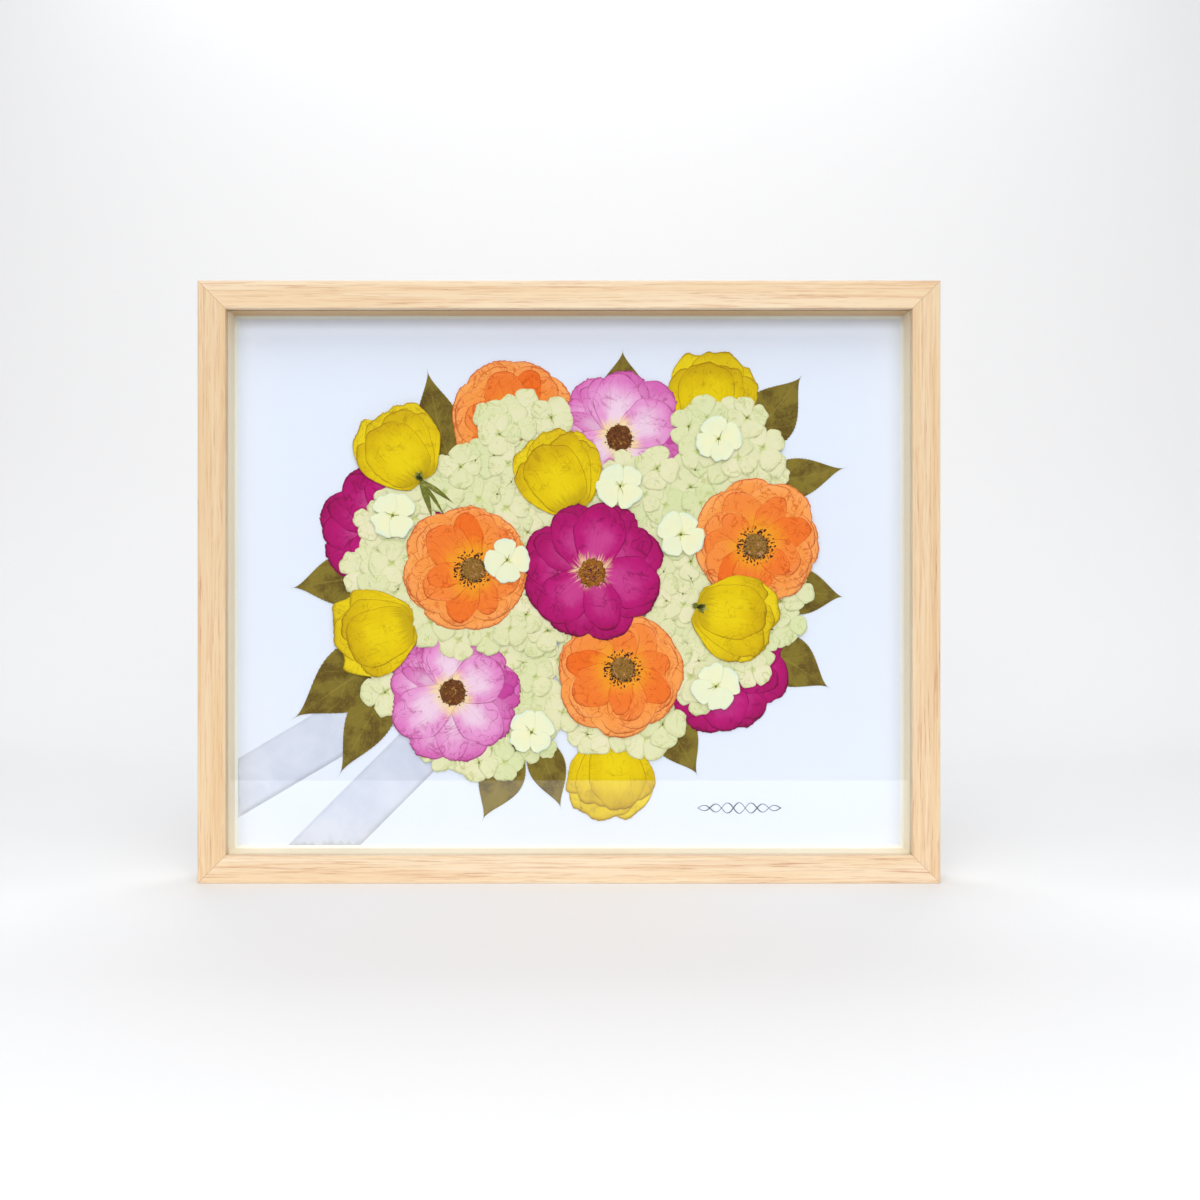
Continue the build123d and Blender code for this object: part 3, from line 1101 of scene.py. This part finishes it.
@dataclass(frozen=True)
class MagentaRose(Bloom):
    """Deep magenta bloom with pale streaks at the throat and a golden middle."""

    slot = "magenta_petal"
    finish = MAGENTA

    def petals(self) -> list[Petal]:
        """A torn ring beneath and eight broad petals in front."""
        outer = [Petal(45 * k + 20, 0.99 - 0.02 * (k % 3), 0.82, 0.1 + 0.15 * (k % 3), 0.25, 0.24,
                       0.022) for k in range(8)]
        front = [Petal(255, 0.93, 0.6, 0.3), Petal(172, 0.95, 0.66, 0.12),
                 Petal(148, 0.92, 0.5, 0.28), Petal(34, 0.94, 0.66, 0.2),
                 Petal(119, 0.93, 0.62, 0.16), Petal(-14, 0.97, 0.78, 0.04),
                 Petal(79, 0.95, 0.78, 0.02), Petal(222, 0.94, 0.74, 0.05),
                 Petal(-72, 0.86, 0.56, 0.14)]
        return outer + front

    def heart_pieces(self) -> None:
        """A golden ring of anthers round purple pistils."""
        radius = self.middle()[3]
        self.pad(f"{self.node}_seed_head", GOLDEN, 0.19 * radius, 0.14, 0.36 * MM, 5.0)
        self.beads(f"{self.node}_anthers", GOLDEN, 150, 0.11 * radius, 0.215 * radius,
                   0.5 * MM, 1.5, 0.43 * MM, 41)
        self.beads(f"{self.node}_pistils", PURPLE, 90, 0.0, 0.115 * radius, 0.45 * MM, 1.3,
                   0.44 * MM, 43)


@dataclass(frozen=True)
class Buttercup(Bloom):
    """Yellow cup seen from behind, opening along its turn."""

    slot = "yellow_petal"
    finish = YELLOW
    belly = 0.42
    ruffle = 0.09
    foot = 0.94
    cup_depth = 1.9

    def hub_place(self) -> tuple[float, float, float, float]:
        """The foot of the cup, opposite to the way it opens."""
        x, y, z, radius = self.middle()
        turn, away = math.radians(self.turn), radius * self.foot
        return x - math.cos(turn) * away, y, z - math.sin(turn) * away, radius

    def span(self, heading: float, radius: float) -> float:
        """The cup's depth from its foot."""
        return radius * self.cup_depth

    def petals(self) -> list[Petal]:
        """Pale petals behind, two at each side and two broad ones in front."""
        return [Petal(17, 0.97, 1.3, 0.8, 0.2, 0.2, 0.016),
                Petal(-19, 0.95, 1.3, 0.6, 0.2, 0.2, 0.016),
                Petal(-2, 0.97, 1.3, 0.45, 0.2, 0.16, 0.016),
                Petal(33, 0.84, 0.98, 0.15, 0.2, 0.28, 0.016),
                Petal(-33, 0.82, 0.98, 0.25, 0.2, 0.28, 0.016),
                Petal(-13, 0.88, 1.16, 0.1, 0.2, 0.22, 0.016),
                Petal(9, 0.85, 1.36, 0.0, 0.2, 0.24, 0.016)]


@dataclass(frozen=True)
class StalkedButtercup(Buttercup):
    """A buttercup whose green calyx shows, with its stalk where that is long."""

    stalk: float = 8.0
    lean: float = 0.0

    def heart_pieces(self) -> None:
        """Calyx sepals over the foot and the stalk behind the petals."""
        x, y, z, _ = self.hub_place()
        stack = PressedStack()
        for heading, length, width in ((4, 9, 4.2), (32, 8, 3.4), (-34, 8.5, 3.6)):
            cut = LeafCut(length * MM, width * MM, 0.1, seed=heading)
            stack.cut(6, 12, cut, turned(self.turn + heading, -1.2 * MM, 0.4 * MM), 0.4)
        piece = piece_from(f"{self.node}_calyx", stack.raised(x, y, z), FINISHES.of(GREEN),
                           0.04 * MM)
        seated(piece, "green_sepal")
        stack = PressedStack()
        for heading, length, width in ((180, 1.0, 2.8), (163, 0.9, 4.8), (201, 0.9, 3.8)):
            cut = LeafCut(self.stalk * length * MM, width * MM, self.lean, seed=heading)
            place = turned(self.turn + heading, -2 * MM, heading * 0.0003 * MM)
            stack.cut(6, 24, cut, place, 0.2)
        piece = piece_from(f"{self.node}_stalk", stack.raised(x, y + 0.35 * MM, z),
                           FINISHES.of(GREEN), 0.03 * MM)
        seated(piece, "green_sepal")


@dataclass(frozen=True)
class HydrangeaHead:
    """A mass of four-sepalled florets in the place of one CAD node, shaped by a few clumps."""

    node: str
    seed: int
    clumps: tuple[tuple[float, float, float], ...]
    pitch: float = 12.0
    sizes: tuple[float, float] = (14.0, 19.5)
    overhang: float = 3.0
    deepest: float = 0.72
    tries: int = 2400
    depth: float = 0.42

    def holds(self, x: float, z: float, spare: float) -> bool:
        """Whether a floret's middle lies inside a clump.

        Args:
            x: Millimetres.
            z: Millimetres.
            spare: How far inside the clump's edge it has to stay.

        Returns:
            True if one clump holds it.
        """
        for middle_x, middle_z, radius in self.clumps:
            inner = radius - min(spare, self.deepest * radius)
            if math.hypot(x - middle_x, z - middle_z) < inner:
                return True
        return False

    def scatter(self, chance: random.Random) -> list[tuple[float, float, float]]:
        """Fill the clumps with florets that keep their distance.

        Args:
            chance: The head's own seeded chance.

        Returns:
            The x, z and size in millimetres of each floret.
        """
        left = min(x - r for x, z, r in self.clumps)
        right = max(x + r for x, z, r in self.clumps)
        foot = min(z - r for x, z, r in self.clumps)
        top = max(z + r for x, z, r in self.clumps)
        placed: list[tuple[float, float, float]] = []
        for _ in range(self.tries):
            x, z = chance.uniform(left, right), chance.uniform(foot, top)
            size = chance.uniform(*self.sizes)
            crowded = any(math.hypot(x - a, z - b) < self.pitch for a, b, _ in placed)
            if not crowded and self.holds(x, z, size - self.overhang):
                placed.append((x, z, size))
        return placed

    def build(self) -> None:
        """Stack the sepals of every floret, each on its own level, then add the eyes."""
        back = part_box(self.node)[1].y
        chance = random.Random(self.seed)
        stack = PressedStack()
        places = self.scatter(chance)
        step = self.depth / (4 * len(places) + 1)
        for number, (x, z, size) in enumerate(places):
            turn, shade = chance.uniform(0, 90), chance.random()
            for quarter in range(4):
                cut = PetalCut(size * MM, size * chance.uniform(1.0, 1.3) * MM, 0.2, 0.26,
                               0.11, 0.026, chance.uniform(0, 90))
                level = (4 * number + quarter + 1) * step + (self.seed % 8) * 0.0003
                place = turned(turn + 90 * quarter + chance.uniform(-8, 8), 0.3 * MM,
                               level * MM, x * MM, z * MM)
                stack.cut(10, 7, cut, place, shade * 0.6 + chance.uniform(0, 0.4))
        middle = (0.0, back, 0.0)
        piece = piece_from(f"{self.node}_sepals", stack.raised(*middle), FINISHES.of(SEPAL),
                           0.004 * MM)
        seated(piece, "green_sepal", self.node)
        floret_eyes(f"{self.node}_eyes", [(x * MM, z * MM) for x, z, _ in places[::3]],
                    middle, 0.44 * MM, 0.8)


def floret_eyes(name: str, spots: Sequence[tuple[float, float]],
                middle: tuple[float, float, float], level: float, scale: float) -> None:
    """Small green eyes, each with two hair-fine pressed stalks.

    Args:
        name: The piece's name.
        spots: Where the eyes are, from the middle.
        middle: The head's middle x, back y and middle z.
        level: Height of the eyes in the stack.
        scale: Their size, 1 for a floret that lies on top.
    """
    stack = PressedStack()
    for number, (x, z) in enumerate(spots):
        for spoke in range(5):
            cut = LeafCut((1.5 + 0.5 * (spoke % 2)) * scale * MM, 1.1 * scale * MM, seed=spoke)
            stack.cut(3, 5, cut, turned(72 * spoke + 31 * number, -0.3 * MM,
                                        level + spoke * 0.006 * MM, x, z), 0.3)
        for hair in range(2):
            cut = LeafCut((5.5 + 2.5 * hair) * scale * MM, 0.42 * scale * MM, 0.25, seed=hair)
            stack.cut(2, 10, cut, turned(157 * hair + 67 * number, 0.4 * MM,
                                         level - (hair + 1) * 0.006 * MM, x, z), 0.9)
    piece = piece_from(name, stack.raised(*middle), FINISHES.of(GREEN), 0.005 * MM)
    seated(piece, "green_sepal")


@dataclass(frozen=True)
class TopFlorets:
    """Single pale florets that lie over the rest of the bouquet."""

    places: tuple[tuple[float, float, float], ...]
    node: str = "single_florets"
    half_width: float = 16.5
    seed: int = 77

    def build(self) -> None:
        """Cut four round sepals for each floret, then its eye."""
        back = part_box(self.node)[1].y
        chance = random.Random(self.seed)
        stack = PressedStack()
        for x, z, turn in self.places:
            for quarter in range(4):
                size = self.half_width * chance.uniform(0.98, 1.08) * MM
                cut = PetalCut(size, size * chance.uniform(1.06, 1.36), 0.16, 0.24, 0.13, 0.03,
                               chance.uniform(0, 90))
                place = turned(turn + 90 * quarter + chance.uniform(-8, 8), 0.2 * MM,
                               (quarter + 1) * 0.05 * MM, x * MM, z * MM)
                stack.cut(22, 14, cut, place, chance.uniform(0, 0.6))
        middle = (0.0, back, 0.0)
        piece = piece_from(f"{self.node}_sepals", stack.raised(*middle), FINISHES.of(FLORET),
                           0.03 * MM)
        seated(piece, "green_sepal", self.node)
        floret_eyes(f"{self.node}_eyes", [(x * MM, z * MM) for x, z, _ in self.places], middle,
                    0.3 * MM, 1.0)


@dataclass(frozen=True)
class PressedLeaves:
    """The olive leaves that show round the bouquet, stalk to tip."""

    stalks: tuple[tuple[float, float, float, float, float, float], ...]
    node: str = "pressed_leaves"

    def build(self) -> None:
        """Cut each leaf along its stalk line."""
        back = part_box(self.node)[1].y
        stack = PressedStack()
        for number, (x, z, tip_x, tip_z, half, bend) in enumerate(self.stalks):
            away = Vector((tip_x - x, tip_z - z))
            cut = LeafCut(away.length * MM, 2 * half * MM, bend, seed=number)
            place = turned(math.degrees(math.atan2(away.y, away.x)), 0,
                           (number + 1) * 0.03 * MM, x * MM, z * MM)
            stack.cut(20, 60, cut, place, 0.12 * (number % 4))
        piece = piece_from("pressed_leaf_blades", stack.raised(0.0, back, 0.0),
                           FINISHES.of(LeafFinish()), 0.02 * MM)
        seated(piece, "olive_leaf", self.node)


@dataclass(frozen=True)
class RibbonTail:
    """A sheer ribbon laid flat on the board and cut off where the mat covers it."""

    node: str
    start: tuple[float, float]
    slope: float
    width: float = 38.0
    length: float = 240.0

    def build(self) -> None:
        """Lay the ribbon, then cut it along the mat's opening."""
        low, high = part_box(self.node)
        shape, verts = flat_grid(8, 60)
        for vert in verts:
            across, along = vert.co.x, (vert.co.y + 1) / 2
            fray = 0.15 * MM * noise.noise(Vector((along * 22, across, self.slope)))
            lift = 0.03 * MM * (1 + noise.noise(Vector((along * 9, across * 1.3, self.slope))))
            vert.co = Vector((across * self.width / 2 * MM + fray, along * self.length * MM,
                              0.04 * MM + lift))
        place = turned(180 + self.slope, 0, 0, self.start[0] * MM, self.start[1] * MM)
        bmesh.ops.transform(shape, matrix=place, verts=verts)
        for spot, side in (((low.x, 0, 0), (-1, 0, 0)), ((0, low.z, 0), (0, -1, 0))):
            shape_parts = shape.verts[:] + shape.edges[:] + shape.faces[:]
            bmesh.ops.bisect_plane(shape, geom=shape_parts, plane_co=spot, plane_no=side,
                                   clear_outer=True)
        bmesh.ops.transform(shape, matrix=Matrix.Translation((0, high.y, 0)) @ UPRIGHT,
                            verts=shape.verts[:])
        area = sum(face.calc_area() for face in shape.faces)
        reach = max((Vector((vert.co.x, vert.co.z)) - Vector(self.start) * MM).length
                    for vert in shape.verts)
        piece = piece_from(f"{self.node}_cloth", shape, FINISHES.of(SheerRibbon()), 0.05 * MM)
        seated(piece, "sheer_ribbon", self.node)
        flat = (self.width * MM, reach)
        min(area, flat[0] * flat[1])


@dataclass(frozen=True)
class PenFlourish:
    """A braided line of ink at the lower right of the board, a plain ornament."""

    start: tuple[float, float] = (96.0, 50.0)
    length: float = 62.0
    links: int = 7
    tall: float = 4.0

    def point(self, share: float) -> Vector:
        """Where the pen is on its way to the far end and back.

        Args:
            share: 0 at the start of the line and 1 at its end.

        Returns:
            The place on the board.
        """
        along = 1 - abs(1 - 2 * share)
        tall = self.tall * (0.35 + 0.65 * math.sin(math.pi * along))
        x = self.length * along
        z = tall * math.sin(self.links * 2 * math.pi * share)
        return Vector(((self.start[0] + x) * MM, (self.start[1] + z) * MM))

    def build(self) -> None:
        """Draw the line as a strip that is broad on its downstrokes."""
        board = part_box("mount_board")[0].y
        shape, verts = flat_grid(1, 420)
        for vert in verts:
            side, share = vert.co.x, (vert.co.y + 1) / 2
            here = self.point(share)
            ahead = self.point(share + 0.001) - self.point(share - 0.001)
            ahead.normalize()
            half = side * (0.24 + 0.26 * max(0.0, -ahead.y)) * MM
            level = board - (0.02 + 0.1 * share) * MM
            vert.co = Vector((here.x + ahead.y * half, level, here.y - ahead.x * half))
        bmesh.ops.recalc_face_normals(shape, faces=shape.faces[:])
        piece = piece_from("pen_flourish", shape, FINISHES.of(DriedInk()), 0.008 * MM)
        seated(piece, "bluish_board")


class Bouquet:
    """Everything that is pressed on the board."""

    leaves = PressedLeaves((
        (-88, 300, -108, 378, 17, 0.1), (40, 330, 40, 393, 19, 0.0),
        (130, 318, 175, 373, 21, -0.05), (140, 290, 207, 304, 15, 0.0),
        (150, 214, 206, 208, 17, 0.05), (140, 175, 195, 139, 19, 0.0),
        (66, 125, 97, 74, 17, 0.05), (-40, 98, -65, 40, 17, 0.0),
        (-25, 105, -5, 49, 14, 0.05), (-125, 172, -207, 116, 25, 0.0),
        (-130, 150, -173, 74, 17, -0.05), (-140, 225, -208, 214, 19, 0.0)))
    ribbons = (RibbonTail("ribbon_tail_left", (-111, 145), 30.5),
               RibbonTail("ribbon_tail_right", (-95, 110), 45))
    blooms = (
        Ranunculus("orange_ranunculus_top", -31), Ranunculus("orange_ranunculus_left", 0, (6, -1)),
        Ranunculus("orange_ranunculus_right", 129, (-1.5, -3.5)),
        Ranunculus("orange_ranunculus_bottom", 75, (2.5, 4)),
        PinkRose("pink_rose_top", 0, (-3, -2)), PinkRose("pink_rose_left", 0, (-1, 3.5)),
        MagentaRose("magenta_rose_left", 10), MagentaRose("magenta_rose_right", 55),
        MagentaRose("magenta_rose_centre", 0, (-0.5, -1.5)),
        Buttercup("yellow_buttercup_top_right", 84), Buttercup("yellow_buttercup_bottom", -92),
        StalkedButtercup("yellow_buttercup_top_left", 124, stalk=38, lean=0.1),
        Buttercup("yellow_buttercup_left", 192), Buttercup("yellow_buttercup_top", 112),
        StalkedButtercup("yellow_buttercup_right", -18))
    heads = {
        "lower_left": ((-8, 162, 18), (-47, 172, 19), (-3, 117, 18), (-58, 101, 31), (-86, 97, 24),
                       (-30, 107, 24), (-24, 134, 28), (-28, 165, 24), (-137, 138, 16)),
        "bottom": ((12, 106, 17), (34, 106, 18), (56, 107, 19), (70, 112, 16)),
        "top_left": ((-36, 258, 19), (-46, 334, 24), (-16, 340, 20), (-34, 342, 20),
                     (-61, 300, 34), (-84, 289, 26), (-35, 284, 32), (-18, 312, 24),
                     (-12, 275, 22)),
        "left": ((-131, 262, 31), (-120, 278, 22), (-100, 284, 20), (-139, 226, 31),
                 (-118, 213, 30), (-108, 240, 28)),
        "top_right": ((104, 331, 28), (124, 326, 30), (142, 309, 25), (100, 302, 28),
                      (150, 296, 18)),
        "centre": ((24, 284, 19), (92, 276, 19), (40, 303, 22), (58, 296, 24), (66, 272, 26),
                   (74, 248, 27), (80, 220, 30), (76, 286, 22)),
        "right": ((84, 176, 33), (98, 145, 26), (92, 200, 24), (130, 165, 26), (152, 191, 24),
                  (164, 206, 19)),
        "middle": ((-6, 186, 18), (-118, 196, 19), (-103, 186, 20), (-80, 182, 21), (-58, 184, 21),
                   (-40, 194, 22), (-48, 214, 18), (-24, 184, 22), (-44, 236, 18))}
    florets = TopFlorets((
        (-131, 268, 40), (-46, 235, 10), (38, 290, 35), (83, 254, 60), (111, 325, 20),
        (-28, 107, 35), (109, 141, 15)))

    def build(self) -> None:
        """Build it from the board up."""
        PenFlourish().build()
        for ribbon in self.ribbons:
            ribbon.build()
        self.leaves.build()
        for bloom in self.blooms:
            bloom.build()
        for number, (head, clumps) in enumerate(self.heads.items()):
            HydrangeaHead(f"hydrangea_{head}", 100 + number, clumps).build()
        self.florets.build()


# ------------------------------------------------------------------ frame and hardware


class Joinery:
    """The CAD pieces that keep their shape and get their finish, some finishes with painted shade.
    """

    finishes: dict[Any, tuple[str, ...]] = {
        BlondWood(Run.ACROSS, 0.0): ("top_rail",),
        # The bottom rail and the stiles take darker copies of the ash colours than the top rail:
        # painted shade for how the light falls on each side.
        BlondWood(Run.ACROSS, 5.3, rgb(234, 214, 184), rgb(229, 203, 167)): ("bottom_rail",),
        BlondWood(Run.UP, 2.1, rgb(229, 205, 169), rgb(224, 193, 150)): ("left_stile",),
        BlondWood(Run.UP, 7.7, rgb(231, 208, 173), rgb(226, 196, 155)): ("right_stile",),
        ClearGlass(): ("front_glass",),
        PaperStock("cream_spacer", rgb(250, 236, 206), rgb(242, 224, 190), 0.6, 500): (
            "bottom_spacer", "left_spacer", "right_spacer"),
        # The top spacer takes a darker copy of the cream: painted shade for the spacer that faces
        # down, out of the light.
        PaperStock("painted_shade_spacer", rgb(218, 186, 142), rgb(206, 172, 126), 0.6, 500): (
            "top_spacer",),
        PaperStock("off_white_mat", rgb(246, 246, 236), rgb(232, 232, 220), 0.4): (
            "bevelled_mat",),
        PaperStock("bluish_board", rgb(231, 239, 255), rgb(225, 234, 253), 0.4): (
            "mount_board",),
        PaperStock("foam_core", rgb(244, 244, 240), rgb(226, 226, 220), 0.5, 1400): (
            "foam_board",),
        PressedFibre(): ("back_panel",),
        PlatedSteel("spring_steel", rgb(120, 124, 130), rgb(92, 96, 102), 0.32): (
            "turn_button_top_left", "turn_button_top_right", "turn_button_bottom_left",
            "turn_button_bottom_right", "turn_button_left", "turn_button_right"),
        PlatedSteel("zinc_steel", rgb(176, 178, 182), rgb(140, 143, 148), 0.3): (
            "turn_button_screws", "left_hanger_strap", "right_hanger_strap", "left_hanger_ring",
            "right_hanger_ring", "corner_wedges"),
        PlatedSteel("brass_plate", rgb(206, 172, 96), rgb(168, 132, 64), 0.26): (
            "hanger_screws",),
        SoftRubber(): ("wall_bumpers",),
    }

    def build(self) -> None:
        """Give every carried-over CAD piece its finish."""
        for finish, names in self.finishes.items():
            material = finish.material()
            for name in names:
                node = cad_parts[name]
                node.data.materials.clear()
                node.data.materials.append(material)
                log.info("%s: CAD piece in %s", name, material.name)


# ------------------------------------------------------------------ the studio


@dataclass(frozen=True)
class Studio:
    """Seamless white paper, two broad softboxes, a weak one behind and a level camera."""

    table_front: float = 0.415
    wall_gap: float = 0.95
    camera_side: float = 0.0029
    camera_distance: float = 0.8
    camera_height: float = 0.2149
    lens: float = 33.12
    shift: tuple[float, float] = (0.0225, -0.0108)
    cove: float = 0.42
    key_power: float = 51.0
    top_power: float = 20.0
    back_share: float = 0.18
    sky: float = 0.235

    def card(self, name: str, corners: Sequence[Sequence[float]],
             finish: Any) -> bpy.types.Object:
        """A flat sheet of paper or cloth.

        Args:
            name: The object's name.
            corners: Its four corners, anticlockwise from its front.
            finish: What it is made of.

        Returns:
            The sheet.
        """
        shape = bmesh.new()
        shape.faces.new([shape.verts.new(corner) for corner in corners])
        made = piece_from(name, shape, FINISHES.of(finish))
        return made

    def sweep(self, front: float, wall: float) -> None:
        """Seamless paper that lies on the table and curves up the wall.

        Args:
            front: Y of the table's front edge.
            wall: Y of the wall.
        """
        shape, verts = flat_grid(2, 96)
        flat, arc = wall - self.cove - front, self.cove * math.pi / 2
        for vert in verts:
            run = (vert.co.y + 1) / 2 * (flat + arc + 3.0)
            turn = min(max(run - flat, 0.0), arc) / self.cove
            vert.co = Vector((vert.co.x * 3.0,
                              front + min(run, flat) + self.cove * math.sin(turn),
                              self.cove * (1 - math.cos(turn)) + max(run - flat - arc, 0.0)))
        made = piece_from("paper_sweep", shape, FINISHES.of(StudioPaper()))

    def lamp(self, name: str, place: Sequence[float], aim: Sequence[float],
             size: tuple[float, float], power: float,
             colour: Sequence[float]) -> bpy.types.Object:
        """A rectangular softbox.

        Args:
            name: The object's name.
            place: Where it stands.
            aim: What it points at.
            size: Width and height.
            power: Watts.
            colour: Colour of its light.

        Returns:
            The lamp.
        """
        data = bpy.data.lights.new(name, "AREA")
        data.shape = "RECTANGLE"
        data.size, data.size_y = size
        data.energy = power
        data.color = colour
        made = in_scene(name, data)
        made.location = place
        made.rotation_euler = (Vector(aim) - Vector(place)).to_track_quat("-Z", "Y").to_euler()
        return made

    def build(self) -> None:
        """Set up paper, light and camera."""
        low, high = cad_box
        front = low.y - self.table_front
        self.sweep(front, high.y + self.wall_gap)
        middle = (0, 0, (low.z + high.z) / 2)
        key = self.lamp("key_softbox", (0.0, low.y - 2.5, 0.95), middle, (3.0, 1.1),
                        self.key_power, (1.0, 0.992, 0.985))
        key.visible_glossy = False
        self.lamp("top_softbox", (0.0, low.y - 1.1, 1.9), (0, low.y - 0.3, 0), (2.8, 1.2),
                  self.top_power, (1.0, 0.99, 0.98))
        self.lamp("back_fill", (0, 0.8, 1.5), middle, (1.6, 0.7), self.key_power * self.back_share,
                  (0.96, 0.98, 1.0))
        flag = self.card("flag", ((4, -3.2, -2), (-4, -3.2, -2), (-4, -3.2, 2.6),
                                  (4, -3.2, 2.6)), FlagCloth())
        flag.visible_camera = flag.visible_diffuse = flag.visible_shadow = False
        world = bpy.data.worlds.new("studio")
        bpy.context.scene.world = world
        world.use_nodes = True
        inputs = world.node_tree.nodes["Background"].inputs
        inputs["Color"].default_value = (0.93, 0.96, 1.0, 1.0)
        inputs["Strength"].default_value = self.sky
        lens = bpy.data.cameras.new("camera")
        lens.lens = self.lens
        lens.sensor_width = 36.0
        lens.shift_x, lens.shift_y = self.shift
        lens.dof.use_dof = False
        camera = in_scene("camera", lens)
        camera.location = (self.camera_side, low.y - self.camera_distance, self.camera_height)
        camera.rotation_euler = (math.pi / 2, 0, 0)
        bpy.context.scene.camera = camera
        bpy.context.scene.view_settings.view_transform = "Standard"


def main() -> None:
    """Build the frame's looks, the bouquet and the studio, in that order."""
    logging.basicConfig(level=logging.INFO, format="%(message)s")
    Joinery().build()
    Bouquet().build()
    Studio().build()


if __name__ == "__main__":
    main()
